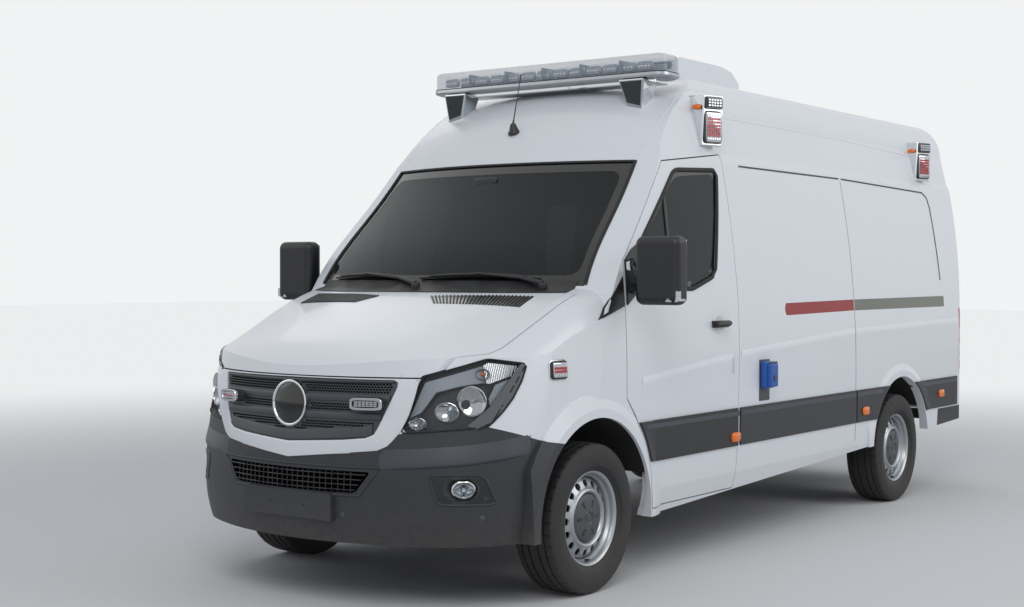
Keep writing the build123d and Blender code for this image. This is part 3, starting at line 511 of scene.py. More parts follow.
def stage():
    """Floor, sky, four soft lamps and the camera of the photograph."""
    floor = make("stage_floor", [(-60, -60, 0), (60, -60, 0), (60, 60, 0), (-60, 60, 0)], [(0, 1, 2, 3)],
                 "inner_grey", None)
    m = bpy.data.materials.new("stage_mat")
    m.use_nodes = True
    node, link = node_maker(m.node_tree)
    shader = m.node_tree.nodes["Principled BSDF"]
    for key, value in (("Base Color", (0.74, 0.74, 0.75, 1)), ("Roughness", 0.9), ("Specular IOR Level", 0.1)):
        shader.inputs[key].default_value = value
    glow = node("Emission", Color=BACKDROP, Strength=0.9)
    far = node("VectorMath")
    far.operation = "LENGTH"
    link(node("TexCoord").outputs["Object"], far.inputs[0])
    fade = node("MapRange", From_Min=4.0, From_Max=13.0)
    fade.interpolation_type = "SMOOTHSTEP"
    link(far.outputs["Value"], fade.inputs["Value"])
    gate = node("Math")
    gate.operation = "MULTIPLY"
    link(fade.outputs[0], gate.inputs[0])
    link(node("LightPath").outputs["Is Camera Ray"], gate.inputs[1])
    blend = node("MixShader")
    for k, source in enumerate((gate, shader, glow)):
        link(source.outputs[0], blend.inputs[k])
    link(blend.outputs[0], m.node_tree.nodes["Material Output"].inputs[0])
    floor.data.materials[0] = m
    world = bpy.data.worlds.new("sky")
    bpy.context.scene.world = world
    world.use_nodes = True
    node, link = node_maker(world.node_tree)
    path = node("LightPath")
    low = node("Background", Color=(0.86, 0.9, 0.96, 1), Strength=0.44)
    high = node("Background", Color=BACKDROP, Strength=0.95)
    seen = path.outputs["Is Camera Ray"]
    for ray in ("Is Transmission Ray", "Is Glossy Ray"):
        either = node("Math")
        either.operation = "MAXIMUM"
        link(seen, either.inputs[0])
        link(path.outputs[ray], either.inputs[1])
        seen = either.outputs[0]
    mix = node("MixShader")
    for k, source in enumerate((seen, low.outputs[0], high.outputs[0])):
        link(source, mix.inputs[k])
    link(mix.outputs[0], world.node_tree.nodes["World Output"].inputs[0])
    world.node_tree.nodes.remove(world.node_tree.nodes["Background"])
    for name, loc, size, power, aim in (("key", (5.5, -9.5, 8.5), 7.0, 400, (0, -0.5, 1.0)),
                                        ("fill", (9.5, 3.5, 6.0), 8.0, 300, (0, 0.5, 1.0)),
                                        ("back", (-7.5, 6.5, 7.5), 7.0, 90, (0, 0, 1.2)),
                                        ("left", (-7.5, -6.5, 5.5), 6.0, 60, (0, -1, 1.0))):
        lamp = bpy.data.lights.new(name, "AREA")
        lamp.shape, lamp.size, lamp.energy = "DISK", size, power
        o = add_object(name, lamp)
        o.location = loc
        o.rotation_euler = (Vector(aim) - Vector(loc)).to_track_quat("-Z", "Y").to_euler()
    cam = bpy.data.cameras.new("camera")
    cam.sensor_fit, cam.sensor_width, cam.lens = "HORIZONTAL", 36.0, 53.575
    o = add_object("camera", cam)
    yaw, pitch, roll = math.radians(-35.988), math.radians(-1.021), math.radians(0.102)
    fw = Vector((math.sin(yaw) * math.cos(pitch), math.cos(yaw) * math.cos(pitch), math.sin(pitch)))
    right = Vector((math.cos(yaw), -math.sin(yaw), 0))
    up = right.cross(fw)
    r2 = right * math.cos(roll) + up * math.sin(roll)
    u2 = -right * math.sin(roll) + up * math.cos(roll)
    turned = Matrix((r2, u2, -fw)).transposed().to_4x4()
    o.matrix_world = Matrix.Translation((4.786, -5.907 + AXLE_F, 1.47)) @ turned
    cam.clip_end = 200
    bpy.context.scene.camera = o
    bpy.context.scene.view_settings.view_transform = "Standard"


stage()

# ---- the frame's own panels get soft edges ----
for node, obj in NODES.items():
    if not node.endswith("_tyre"):
        sharpen(obj, 28)
INWARD = Vector((-1, 1, 0)).normalized()


def lamp_origin(h, z):
    """Start of the 45 degree line of sight, h across and z up."""
    return row(h / math.sqrt(2) + 1.1, h / math.sqrt(2) - 1.1, z)


def onto_lamp(h, z, tree):
    """Point and normal where that line of sight meets the tree, or else the skin."""
    hit, nrm, _, _ = tree.ray_cast(lamp_origin(h, z), INWARD)
    if hit is None:
        hit, nrm, _, _ = SKIN.ray_cast(lamp_origin(h, z), INWARD)
    return hit, nrm


def arc_sag(x, r):
    """How far a circle of radius r falls back at x."""
    return r - math.sqrt(r * r - x * x)


def box_round(name, lo, hi, r, mat, body="body", seg=3):
    """A box with rounded edges, built in bmesh."""
    bm = bmesh.new()
    bmesh.ops.create_cube(bm, size=1.0)
    lo, hi = Vector(lo), Vector(hi)
    for v in bm.verts:
        v.co = Vector([lo[i] + (v.co[i] + 0.5) * (hi[i] - lo[i]) for i in range(3)])
    bmesh.ops.bevel(bm, geom=list(bm.edges), offset=r, segments=seg, profile=0.6, affect="EDGES",
                    clamp_overlap=True)
    o = from_bmesh(name, bm, mat)
    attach(o, body)
    return sharpen(o, 40)


def led_panel(name, m, w, h, rows, cols, body="body", split=None, radius=0.01):
    """A lens face with a grid of LED cells, the middle rows tinted."""
    Soup().prism(rounded([(-w / 2, -h / 2), (w / 2, -h / 2), (w / 2, h / 2), (-w / 2, h / 2)], radius), 0.003, m,
                 0.002, 0.001).done(f"{name}_face", "gloss_black" if split is None else "reflector", body,
                                    smooth=40)
    clear, red = Soup(), Soup()
    for r in range(rows):
        for c in range(cols):
            x = (c + 0.5) / cols * w * 0.92 - w * 0.46
            y = (r + 0.5) / rows * h * 0.9 - h * 0.45
            dw, dh = w * 0.92 / cols * 0.4, h * 0.9 / rows * 0.38
            tint = split and (1 <= r <= rows - 2)
            cell = red if tint else clear
            mm = m @ Matrix.Translation((x, y, 0.0028))
            cell.prism([(-dw, -dh), (dw, -dh), (dw, dh), (-dw, dh)], 0.003, mm, dw * 0.35, 0.0015)
    if clear.v:
        clear.done(f"{name}_cells_clear", "led_clear", body, smooth=30)
    if red.v:
        red.done(f"{name}_cells_red", split, body, smooth=30)


# ---- windscreen: cowl, printed border, wipers, inner mirror ----
def cowl_edge(x, front):
    """Station of the cowl's front or back edge."""
    return -0.15 + arc_sag(x, 2.032) if front else -0.06 + arc_sag(x, 1.9)


xs = [i * 0.08 for i in range(-10, 11)]
patch("cowl_trim", "T", [(x, cowl_edge(x, True)) for x in xs] + [(x, cowl_edge(x, False)) for x in reversed(xs)],
      "black_plastic", thick=0.004, step=0.05)
screen_out = [(-0.834, 1.426), (0.834, 1.426), (0.764, 2.049), (-0.764, 2.049)]
screen_in = rounded([(-0.792, 1.475), (0.792, 1.475), (0.728, 2.0), (-0.728, 2.0)], 0.06)
patch("windscreen_border", "F", screen_out, "gloss_black", thick=0.0006, step=0.06, holes=[screen_in])
for sx, side in PAIR:
    ribbon(f"screen_seal_{side}", "F", [(sx * 0.838, 1.43), (sx * 0.768, 2.055)], 0.018, 0.005, "seal_rubber")
ribbon("screen_seal_top", "F", [(-0.765, 2.053), (0.765, 2.053)], 0.014, 0.004, "seal_rubber")


def wiper(name, pivot_x, blade_from, blade_to):
    """Arm from its pivot on the cowl to the blade that rests along the foot of the screen."""
    soup = Soup()
    blade = []
    for i in range(11):
        x = blade_from + (blade_to - blade_from) * i / 10
        h, n = onto("F", x, 1.455 + 0.012 * math.sin(math.pi * i / 10))
        blade.append((h, n))
    soup.tube([h + n * 0.01 for h, n in blade], 0.0055, 8)
    soup.tube([h + n * 0.021 for h, n in blade[1:-1]], [0.004] + [0.008] * 7 + [0.004], 8)
    base, bn = onto("T", pivot_x, cowl_edge(pivot_x, False) - 0.035)
    mid, mn = blade[5]
    knee = base.lerp(mid, 0.35) + Vector((0, -0.004, 0.035))
    soup.tube([base + bn * 0.012, base + bn * 0.03, knee, mid + mn * 0.03], [0.013, 0.014, 0.01, 0.006], 10)
    soup.lathe([(0.0, 0.036), (0.016, 0.034), (0.021, 0.026), (0.021, 0.0), (0.0, 0.0)], facing(base, bn), 20)
    soup.done(name, "black_plastic", smooth=50)


wiper("wiper_left", 0.66, 0.63, -0.02)
wiper("wiper_right", -0.02, -0.12, -0.7)
glass_top = onto("F", 0.0, 1.93)[0]
box_round("mirror_sensor_box", (-0.075, glass_top.y + 0.02, 1.9), (0.075, glass_top.y + 0.11, 1.985), 0.018,
          "black_plastic")
box_round("inner_mirror", (-0.125, glass_top.y + 0.14, 1.8), (0.125, glass_top.y + 0.165, 1.87), 0.012,
          "black_plastic")
Soup().tube([(0, glass_top.y + 0.07, 1.92), (0, glass_top.y + 0.12, 1.88), (0, glass_top.y + 0.15, 1.84)], 0.009,
            10).done("inner_mirror_stalk", "black_plastic", smooth=50)
for sx, side in PAIR:
    lo, hi = sorted((sx * 0.22, sx * 0.64))
    box_round(f"sun_visor_{side}", (lo, aft(0.6), 1.985), (hi, aft(0.78), 2.005), 0.008, "inner_grey")


# ---- cab doors: seals, quarter bar, mirror trim, handles ----
WINDOW = [(0.352, 1.545), (0.868, 2.01), (1.325, 2.035), (1.172, 1.48), (0.905, 1.408), (0.352, 1.5)]


def cab_side(kind, sx, side):
    """Front door: window seal and frame, mirror, handle and trim."""
    body = f"{side}_front_door"
    tree = trees([f"{side}_front_door", f"{side}_front_glass"])
    c = Vector((sum(p[0] for p in WINDOW) / 6, sum(p[1] for p in WINDOW) / 6))
    outer = [Vector(p) + (Vector(p) - c).normalized() * 0.006 for p in WINDOW]
    inner = [Vector(p) + (c - Vector(p)).normalized() * 0.03 for p in WINDOW]
    ring_out = rounded(outer, 0.05)
    ring_in = rounded(inner, 0.075)
    soup = Soup()
    ribbon("", kind, ring_out, 0.022, 0.007, "seal_rubber", body, closed=True, tree=tree, into=soup)
    soup.done(f"{side}_window_seal", "seal_rubber", body, smooth=50)
    glass_tree = trees([f"{side}_front_glass"])
    patch(f"{side}_window_frame", kind, rounded(WINDOW, 0.02), "gloss_black", body, thick=0.001, step=0.07,
          holes=[ring_in], tree=glass_tree)
    ribbon(f"{side}_quarter_bar", kind, [(0.735, 1.89), (0.712, 1.435)], 0.026, 0.008, "black_plastic", body,
           tree=tree)
    patch(f"{side}_mirror_base", kind, [(0.278, 1.335), (0.286, 1.548), (0.352, 1.6), (0.44, 1.64), (0.42, 1.46),
                                        (0.38, 1.395)], "black_plastic", body, thick=0.01, step=0.05, tree=tree)
    patch(f"{side}_wing_triangle", kind, [(0.03, 1.268), (0.256, 1.47), (0.256, 1.33)], "black_plastic",
          thick=0.005, step=0.05)
    # hand recess behind the handle, as a dished ring
    h, n = onto(kind, 1.18, 1.222, tree)
    Soup().lathe([(0.05, 0.0002), (0.046, 0.003), (0.04, 0.0012), (0.0, 0.0006)], facing(h, n), 36).done(
        f"{side}_handle_dish", "white_paint", body, smooth=50)
    # grip with rounded ends, over the frame's own handle
    pts = [(1.108, 1.22), (1.125, 1.221), (1.18, 1.223), (1.235, 1.226), (1.254, 1.227)]
    Soup().tube([row(sx * 1.008, a, b) for a, b in pts], [0.009, 0.0155, 0.017, 0.0165, 0.01], 14).done(
        f"{side}_door_grip", "black_plastic", body, smooth=60)
    # mirror: both glasses, and the indicator lens on the outer lower corner
    x0, x1 = sorted((sx * 1.062, sx * 1.266))
    for part, z0, z1 in (("mirror_glass", 1.445, 1.642), ("mirror_wide_glass", 1.356, 1.436)):
        box_round(f"{side}_{part}", (x0, aft(0.322), z0), (x1, aft(0.3275), z1), 0.002, "reflector", body)
    outline = [(0, 0), (0.062, 0), (0.066, 0.012), (0.062, 0.062), (0.046, 0.066)]
    m = facing(row(sx * 1.213, 0.2195, 1.352), Vector((0.25 * sx, -1, 0)))
    flat = [(x if sx > 0 else -x, y) for x, y in outline]
    Soup().prism(flat if sx > 0 else flat[::-1], 0.008, m, 0.006, 0.003).done(
        f"{side}_mirror_indicator", "led_clear", body, smooth=40)
    x0, x1 = sorted((sx * 1.266, sx * 1.283))
    Soup().box((x0, aft(0.222), 1.356), (x1, aft(0.285), 1.402)).done(
        f"{side}_mirror_lens_side", "led_clear", body)
    Soup().tube([(sx * 0.965, aft(0.33), 1.43), (sx * 1.0, aft(0.318), 1.435), (sx * 1.05, aft(0.305), 1.44)],
                [0.045, 0.036, 0.034], 16).done(f"{side}_mirror_arm", "black_plastic", body, smooth=60)


for kind, sx, side in SIDES:
    cab_side(kind, sx, side)


# ---- body side: stripes, creases, markers, seams ----
# station of the wall seam, and the panel edges on either side of it
SEAM, WALL_A, WALL_B = 2.94, 2.932, 2.948
# heights of the dark side strips and of the raised line along them
STRIP_LOW, STRIP_TOP, BEVEL_Z = 0.57, 0.77, 0.742
CREASE = [(-0.05, 0.935), (0.764, 1.013), (1.419, 1.07), (2.891, 1.15), (4.45, 1.176), (4.7, 1.18)]


def crease_strip(name, kind, path, body="body", tree=None, drop=0.11, height=0.0032):
    """A shoulder line: a skin that is thickest along the path and fades out below it."""
    pts = dense(path, 0.06, closed=False)
    rows = [(0.004, 0.0), (0.0, height), (-drop * 0.3, height * 0.62), (-drop * 0.65, height * 0.22),
            (-drop, 0.0)]
    v = []
    for p in pts:
        for dz, rise in rows:
            hit, nrm = onto(kind, p[0], p[1] + dz, tree)
            v.append(hit + nrm * (rise + 0.0001))
    count, m, n = len(pts), len(rows), len(v)
    f = quads(count, m)
    back = [q - Vector((0.002 if kind == "L" else -0.002, 0, 0)) for q in v]
    rim = [k * m for k in range(count)] + [(count - 1) * m + j for j in range(1, m)]
    rim += [k * m + m - 1 for k in range(count - 2, -1, -1)] + list(range(m - 2, 0, -1))
    sides = [(b, a, a + n, b + n) for a, b in zip(rim, rim[1:] + rim[:1])]
    f += [tuple(k + n for k in reversed(q)) for q in f] + sides
    return sharpen(make(name, v + back, f, "white_paint", body), 60)


def crease_z(s):
    """Height of the shoulder line at a station."""
    for (a, za), (b, zb) in zip(CREASE, CREASE[1:]):
        if a <= s <= b:
            return za + (zb - za) * (s - a) / (b - a)
    return CREASE[-1][1]


def part_path(s0, s1):
    """The shoulder line between two stations."""
    return [(s0, crease_z(s0))] + [p for p in CREASE if s0 < p[0] < s1] + [(s1, crease_z(s1))]


def arch_edge(kind, z, centre, way):
    """Station of the wheel arch's edge at a height, found by stepping along the skin."""
    s, last = centre + way * 0.62, centre + way * 0.62
    while abs(s - centre) > 0.02:
        if abs(onto(kind, s, z)[0].x) < 0.955:
            break
        last = s
        s -= way * 0.005
    return last + way * 0.008


def skin_edge(kind, tree, z, start):
    """Station where a panel ends ahead of a start station, at one height."""
    s = start
    while s > start - 0.7:
        h = onto(kind, s - 0.004, z, tree)[0]
        if abs(h.y - aft(s - 0.004)) > 0.001 or abs(h.x) < 0.93:
            break
        s -= 0.004
    return s


def body_side(kind, side):
    """Creases, stripes, dark strips, painted shadow lines over the pressings, markers and wing lamp of one side.
    """
    crease_strip(f"{side}_door_crease", kind, part_path(0.4, 1.404), f"{side}_front_door",
                 trees([f"{side}_front_door"]))
    if side == "left":
        runs = [(1.424, SEAM - 0.006), (SEAM + 0.006, 4.74)]
    else:
        runs = [(2.81, SEAM - 0.006), (SEAM + 0.006, 4.74)]
    for i, (a, b) in enumerate(runs):
        crease_strip(f"{side}_wall_crease_{i}", kind, part_path(a, b))
    # upper roof-side line
    pts = [(1.56, 2.344), (3.0, 2.34), (4.1, 2.312), (4.6, 2.29)]
    ribbon(f"{side}_roof_line", kind, pts, 0.012, 0.002, "white_paint", step=0.12)
    # stripes
    red_low, red_top = (1.992, 1.252), (1.992, 1.321)
    nose_end = [red_top] + [(1.992 - 0.016 * math.sin(math.pi * k / 8), 1.321 - 0.069 * k / 8)
                            for k in range(1, 8)]
    red_end = [(WALL_A, 1.264), (WALL_A, 1.331)] if side == "left" else [(2.782, 1.262), (2.782, 1.33)]
    stripes = [(f"stripe_red_{side}", (nose_end + [red_low] + red_end)[::-1], "stripe_red", 0.1)]
    if side == "right":
        stripes.append(("stripe_red_right_b", [(2.8, 1.262), (WALL_A, 1.264), (WALL_A, 1.331), (2.8, 1.33)],
                        "stripe_red", 0.1))
    stripes.append((f"stripe_olive_{side}", [(WALL_B, 1.264), (4.48, 1.266), (4.48, 1.339), (WALL_B, 1.331)],
                    "stripe_olive", 0.12))
    for name, outline, mat, step in stripes:
        patch(name, kind, outline, mat, thick=0.0005, step=step)
    # dark side strips that run to the wheel arch edges
    levels = (0.768, 0.735, 0.7, 0.665, 0.63, 0.6, 0.572)
    door_tree = trees([f"{side}_front_door"])
    door_edge = [skin_edge(kind, door_tree, z, 0.62) for z in levels]
    arc = max(math.hypot(arch_edge(kind, z, 0.0, 1), z - AXLE_Z) for z in levels) + 0.004
    arch = [math.sqrt(arc * arc - (z - AXLE_Z) ** 2) for z in levels]
    wing = [(a, z) for a, d, z in zip(arch, door_edge, levels) if a < d - 0.02]
    back = [(d - 0.008, z) for a, d, z in zip(arch, door_edge, levels) if a < d - 0.02]
    if len(wing) > 2:
        patch(f"{side}_wing_strip", kind, wing + back[::-1], "dark_plastic", thick=0.006, step=0.03)
    trim_tree = trees([f"{side}_front_trim"])
    trim_start = skin_edge(kind, trim_tree, 0.67, 0.8)
    hit = onto(kind, trim_start + 0.02, 0.67, trim_tree)[0]
    lift = abs(hit.x) - abs(onto(kind, trim_start + 0.02, 0.67)[0].x)
    patch(f"{side}_door_strip", kind, [(d + 0.004, z) for d, z in zip(door_edge, levels)]
          + [(trim_start + 0.004, 0.572), (trim_start + 0.004, 0.768)], "dark_plastic", f"{side}_front_door",
          thick=max(0.004, lift), step=0.03, tree=door_tree)
    # raised bevel line along the strip, in a lighter grey that paints the highlight on it
    ribbon(f"{side}_door_strip_bevel", kind, [(door_edge[1] + 0.03, BEVEL_Z), (1.38, BEVEL_Z)], 0.03,
           max(0.004, lift) + 0.0015, "strip_edge_highlight", f"{side}_front_door", step=0.08, tree=door_tree)
    near = [(arch_edge(kind, z, WHEELBASE, -1), z) for z in (STRIP_TOP, 0.72, 0.67, 0.62, STRIP_LOW)]
    far = [(arch_edge(kind, z, WHEELBASE, 1), z) for z in (STRIP_LOW, 0.62, 0.67, 0.72, STRIP_TOP)]
    parts = (("a", [(1.404, STRIP_LOW), (1.404, STRIP_TOP), (WALL_A, STRIP_TOP), (WALL_A, STRIP_LOW)], 0.09),
             ("b", [(WALL_B, STRIP_LOW), (WALL_B, STRIP_TOP)] + near, 0.04),
             ("c", far + [(4.7, STRIP_TOP), (4.7, STRIP_LOW)], 0.04))
    a, _, _ = [patch(f"{side}_strip_{part}", kind, outline, "dark_plastic", thick=0.009, step=step)
               for part, outline, step in parts]
    # raised bevel lines along the strips, in a lighter grey that paints the highlight on them
    for i, (p, q) in enumerate(((1.41, 2.928), (2.952, near[0][0] - 0.03), (far[-1][0] + 0.03, 4.69))):
        ribbon(f"{side}_strip_bevel_{i}", kind, [(p, BEVEL_Z), (q, BEVEL_Z)], 0.03, 0.0105, "strip_edge_highlight",
               step=0.1)
    if side == "left":
        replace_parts(a, "body_strips")
    # seam between the two wall panels
    ribbon(f"{side}_wall_seam", kind, [(SEAM, 0.42), (SEAM, 1.4), (SEAM, 2.12)], 0.0045, 0.0006, "seal_rubber",
           step=0.06)
    # dark lines along the tops of the pressings, painted as the shadow under their upper edges
    if side == "left":
        ribbon("left_pressing_shadow_mid", kind, [(1.6, 2.0755), (SEAM - 0.022, 2.0765)], 0.009, 0.0035, "dark_plastic")
    ribbon(f"{side}_pressing_shadow_rear", kind, [(SEAM + 0.02, 2.0765), (4.3, 2.053), (4.372, 2.02), (4.4, 1.95),
                                       (4.436, 1.45)], 0.009, 0.0035, "dark_plastic")
    # amber markers
    for i, (s, z) in enumerate(((1.338, 0.618), (3.067, 0.636), (4.371, 0.667))):
        body = f"{side}_front_door" if i == 0 else "body"
        h, n = onto(kind, s, z, trees([f"{side}_front_trim", "body_strips"]))
        Soup().prism(superellipse(0.096, 0.052, 4, 40), 0.01, facing(h, n), 0.006, 0.005).done(
            f"{side}_marker_{i}", "amber_lens", body, smooth=60)
    # scene lamp on the wing
    lamp_outline = superellipse(0.128, 0.092, 6, 36)
    h, n = onto(kind, -0.285, 1.052)
    m = facing(h - n * 0.004, n)
    Soup().prism(lamp_outline, 0.008, m, 0.003, 0.002).done(f"{side}_wing_lamp_bezel", "bright_metal", smooth=40)
    Soup().prism(superellipse(0.12, 0.084, 6, 36), 0.018, m, 0.009, 0.006).done(
        f"{side}_wing_lamp_body", "black_plastic", smooth=40)
    led_panel(f"{side}_wing_lamp", raised(m, 0.0182), 0.1, 0.066, 4, 6, split="led_red", radius=0.009)


for kind, sx, side in SIDES:
    body_side(kind, side)

# ---- power inlet on the left side ----
x0 = onto("L", 1.69, 0.93)[0].x
box_round("inlet_plate", (x0 - 0.003, aft(1.632), 0.79), (x0 + 0.004, aft(1.752), 1.016), 0.002, "cap_grey")
box_round("inlet_socket", (x0, aft(1.64), 0.858), (x0 + 0.042, aft(1.742), 1.006), 0.014, "inlet_blue", seg=4)
box_round("inlet_cover", (x0 + 0.038, aft(1.646), 0.866), (x0 + 0.066, aft(1.738), 0.996), 0.012, "inlet_blue",
          seg=4)
soup = Soup()
soup.tube([(x0 + 0.055, aft(1.65), 1.0), (x0 + 0.055, aft(1.734), 1.0)], 0.006, 12)
soup.box((x0 + 0.062, aft(1.68), 0.9), (x0 + 0.07, aft(1.704), 0.93))
for s, z in ((1.642, 0.8), (1.742, 0.8), (1.642, 1.0105), (1.742, 1.0105)):
    soup.lathe([(0.0, 0.0062), (0.003, 0.0058), (0.0042, 0.003), (0.0042, 0.0)],
               facing(row(x0, s, z), Vector((1, 0, 0))), 12)
soup.done("inlet_fittings", "cap_grey", smooth=40)

# ---- front: grille, lamps, bumper ----
FRONT = trees(["front_panels", "grille", "front_bumper"])
# height that the nose is fitted about
NOSE_MID = 0.85


def nose_fit():
    """Smooth surface through the nose: the depth as a polynomial of X squared and Z.

    The second fit keeps the points in front, so that slots and recesses don't pull it in."""
    rows, ys = [], []
    for x in np.linspace(-0.6, 0.6, 41):
        for z in np.linspace(0.68, 1.025, 19):
            y = onto("F", x, z, FRONT)[0].y
            if y <= -2.6:
                rows.append([(x * x) ** i * (z - NOSE_MID) ** j for i in range(5) for j in range(3)])
                ys.append(y)
    rows, ys = np.array(rows), np.array(ys)
    c, *_ = np.linalg.lstsq(rows, ys, rcond=None)
    left = ys - rows @ c
    keep = left < np.percentile(left, 70)
    c, *_ = np.linalg.lstsq(rows[keep], ys[keep], rcond=None)
    return c


NOSE_C = nose_fit()


def nose_depth(x, z):
    """Row y of the fitted nose."""
    return float(sum(NOSE_C[3 * i + j] * (x * x) ** i * (z - NOSE_MID) ** j for i in range(5) for j in range(3)))


def nose(x, z, out=0.0):
    """Point and normal of the nose, moved out along the normal: the fit, or a panel just in front of it."""
    y, e = nose_depth(x, z), 0.002
    n = Vector(((nose_depth(x + e, z) - y) / e, -1, (nose_depth(x, z + e) - y) / e)).normalized()
    hit = FRONT.ray_cast(Vector((x, -5, z)), Vector((0, 1, 0)))[0]
    if hit is not None and y - 0.03 < hit.y < y:
        y = hit.y
    return Vector((x, y, z)) + n * out, n


def resample(points, count, closed=True):
    """Evenly spaced points along a 2D path; an open one gets its last point too."""
    pts = [Vector(p) for p in points]
    pts += pts[:closed]
    run = [0.0]
    for a, b in zip(pts, pts[1:]):
        run.append(run[-1] + (b - a).length)
    out, i = [], 0
    for k in range(count if closed else count + 1):
        d = run[-1] * k / count
        while i < len(pts) - 2 and run[i + 1] < d:
            i += 1
        t = (d - run[i]) / max(run[i + 1] - run[i], 1e-9)
        out.append(pts[i].lerp(pts[i + 1], min(1.0, t)))
    return out


def mirrored(half):
    """Closed loop from its right half, which runs from the bottom middle to the top middle."""
    return half + [(-x, z) for x, z in reversed(half) if abs(x) > 1e-6]


GRILLE_HALF = [(0.0, 0.737), (0.3, 0.756), (0.405, 0.768), (0.44, 0.785), (0.462, 0.83), (0.522, 0.985),
               (0.524, 1.008), (0.508, 1.019), (0.25, 1.0215), (0.0, 1.0225)]
RING_HALF = [(0.0, 0.668), (0.331, 0.703), (0.455, 0.716), (0.5, 0.738), (0.551, 0.8), (0.587, 0.88),
             (0.609, 0.96), (0.616, 1.02), (0.6, 1.0255), (0.25, 1.0265), (0.0, 1.027)]


def ring_rows(outer_half, inner_half, levels):
    """Rows between two mirrored loops; each level is (share of the way in, height)."""
    a, b = (resample(half, 60, False) for half in (outer_half, inner_half))
    loops = []
    for t, out in levels:
        right = [p.lerp(q, t) for p, q in zip(a, b)]
        pts = right + [Vector((-p.x, p.y)) for p in reversed(right[1:-1])]
        loops.append([nose(p.x, p.y, out)[0] for p in pts])
    return loops


def loft(loops):
    """Points and faces of closed loops of points, one after the other."""
    return [p for loop in loops for p in loop], quads(len(loops), len(loops[0]), False, True, False)


sharpen(make("grille_surround",
             *loft(ring_rows(RING_HALF, GRILLE_HALF, [(0.0, -0.004), (0.0, 0.0012), (0.06, 0.003), (0.5, 0.006),
                                                      (0.86, 0.01), (0.95, 0.0098), (1.0, 0.008),
                                                      (1.0, -0.002)])), "white_paint"), 40)


def nose_patch(name, half, mat, out, step=0.03):
    """A skin over the nose inside the mirrored outline."""
    pts, faces = fill([resample(mirrored(half), 120)], step, 0.4, np.arange(-0.56, 0.5601, step),
                      np.arange(0.66, 1.03, step))
    return sharpen(make(name, [nose(p[0], p[1], out)[0] for p in pts], faces, mat), 40)


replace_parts(nose_patch("grille_plate", GRILLE_HALF, "grille_dark", 0.0016), "grille")


def grille_reach(z):
    """Half width of the grille at a height."""
    xs = [0.0]
    for (xa, za), (xb, zb) in zip(GRILLE_HALF, GRILLE_HALF[1:]):
        if min(za, zb) <= z <= max(za, zb) and abs(zb - za) > 1e-6:
            xs.append(xa + (xb - xa) * (z - za) / (zb - za))
    return max(xs)


# heights of the two wide bars and of the badge
WIDE_BARS = ((0.921, 0.955), (0.843, 0.877))
BADGE_Z = 0.905
bars = Soup()
LOW_BAR = ((0.001, 0.0005), (0.004, 0.0085), (0.04, 0.011), (0.048, 0.008), (0.05, 0.0005))
for z0, z1 in (*WIDE_BARS, (1.004, 1.0185)):
    prof = [(z0, 0.0005), (z0 + 0.003, 0.008), (z0 + 0.01, 0.0105), (z1 - 0.008, 0.0115), (z1 - 0.002, 0.0085),
            (z1, 0.0005)]
    reach = min(grille_reach(z0), grille_reach(z1)) - 0.002
    n = 41
    v = [nose(-reach + 2 * reach * i / (n - 1), z, out)[0] for i in range(n) for z, out in prof]
    bars.add(v, quads(n, len(prof)))
low = []
for i in range(61):
    x = -0.43 + 0.86 * i / 60
    base = 0.7385 + 0.031 * abs(x) / 0.405 if abs(x) < 0.405 else 0.7695 + (abs(x) - 0.405) * 0.5
    low += [nose(x, base + dz, out)[0] for dz, out in LOW_BAR]
bars.add(low, quads(61, len(LOW_BAR)))
bars.done("grille_bars", "grille_dark", smooth=35)
# grille perforations: flat black cells that paint the shade seen through the holes
holes_soup = Soup()
for r in range(22):
    z = 0.764 + r * 0.0112
    if any(a - 0.003 < z < b + 0.003 for a, b in WIDE_BARS):
        continue
    reach = grille_reach(z) - 0.022
    for c in range(-40, 41):
        x = c * 0.0138 + (0.0069 if r % 2 else 0)
        base = 0.7385 + 0.031 * abs(x) / 0.405
        at_lamp = abs(abs(x) - 0.418) < 0.09 and abs(z - 0.918) < 0.036
        if abs(x) > reach or z < base + 0.052 or math.hypot(x, z - BADGE_Z) < 0.112 or at_lamp:
            continue
        p, n = nose(x, z, 0.0023)
        holes_soup.prism([(-0.0048, -0.0037), (0.0048, -0.0037), (0.0048, 0.0037), (-0.0048, 0.0037)], 0.0005,
                         facing(p, n))
holes_soup.done("grille_perforations", "hole_shade_black")

for sx, side in PAIR:
    turn = math.radians(18.6)
    n = Vector((sx * math.sin(turn), -math.cos(turn), 0))
    m = facing(row(sx * 0.42, -0.968, 0.918), n)
    out = superellipse(0.15, 0.056, 5, 48)
    Soup().prism(out, 0.046, raised(m, -0.046)).done(f"grille_lamp_housing_{side}", "lamp_housing", smooth=40)
    hole = superellipse(0.12, 0.03, 5, 48)
    prof = [(out, -0.01), (out, 0.004), ([(a * 0.97, b * 0.93) for a, b in out], 0.0075),
            ([(a * 1.04, b * 1.08) for a, b in hole], 0.0075), (hole, 0.001)]
    Soup().add(*loft([[m @ Vector((a, b, z)) for a, b in pts] for pts, z in prof])).done(
        f"grille_lamp_bezel_{side}", "bright_metal", smooth=50)
    led_panel(f"grille_lamp_{side}", raised(m, 0.001), 0.118, 0.028, 3, 6,
              split="led_red" if side == "right" else None, radius=0.01)
bp, _ = nose(0.0, BADGE_Z, 0.012)
Soup().lathe([(0.0, 0.012), (0.043, 0.011), (0.075, 0.0075), (0.09, 0.003), (0.092, -0.01)],
             facing(bp, Vector((0, -1, 0.05))), 64).done("grille_badge", "gloss_black", smooth=60)
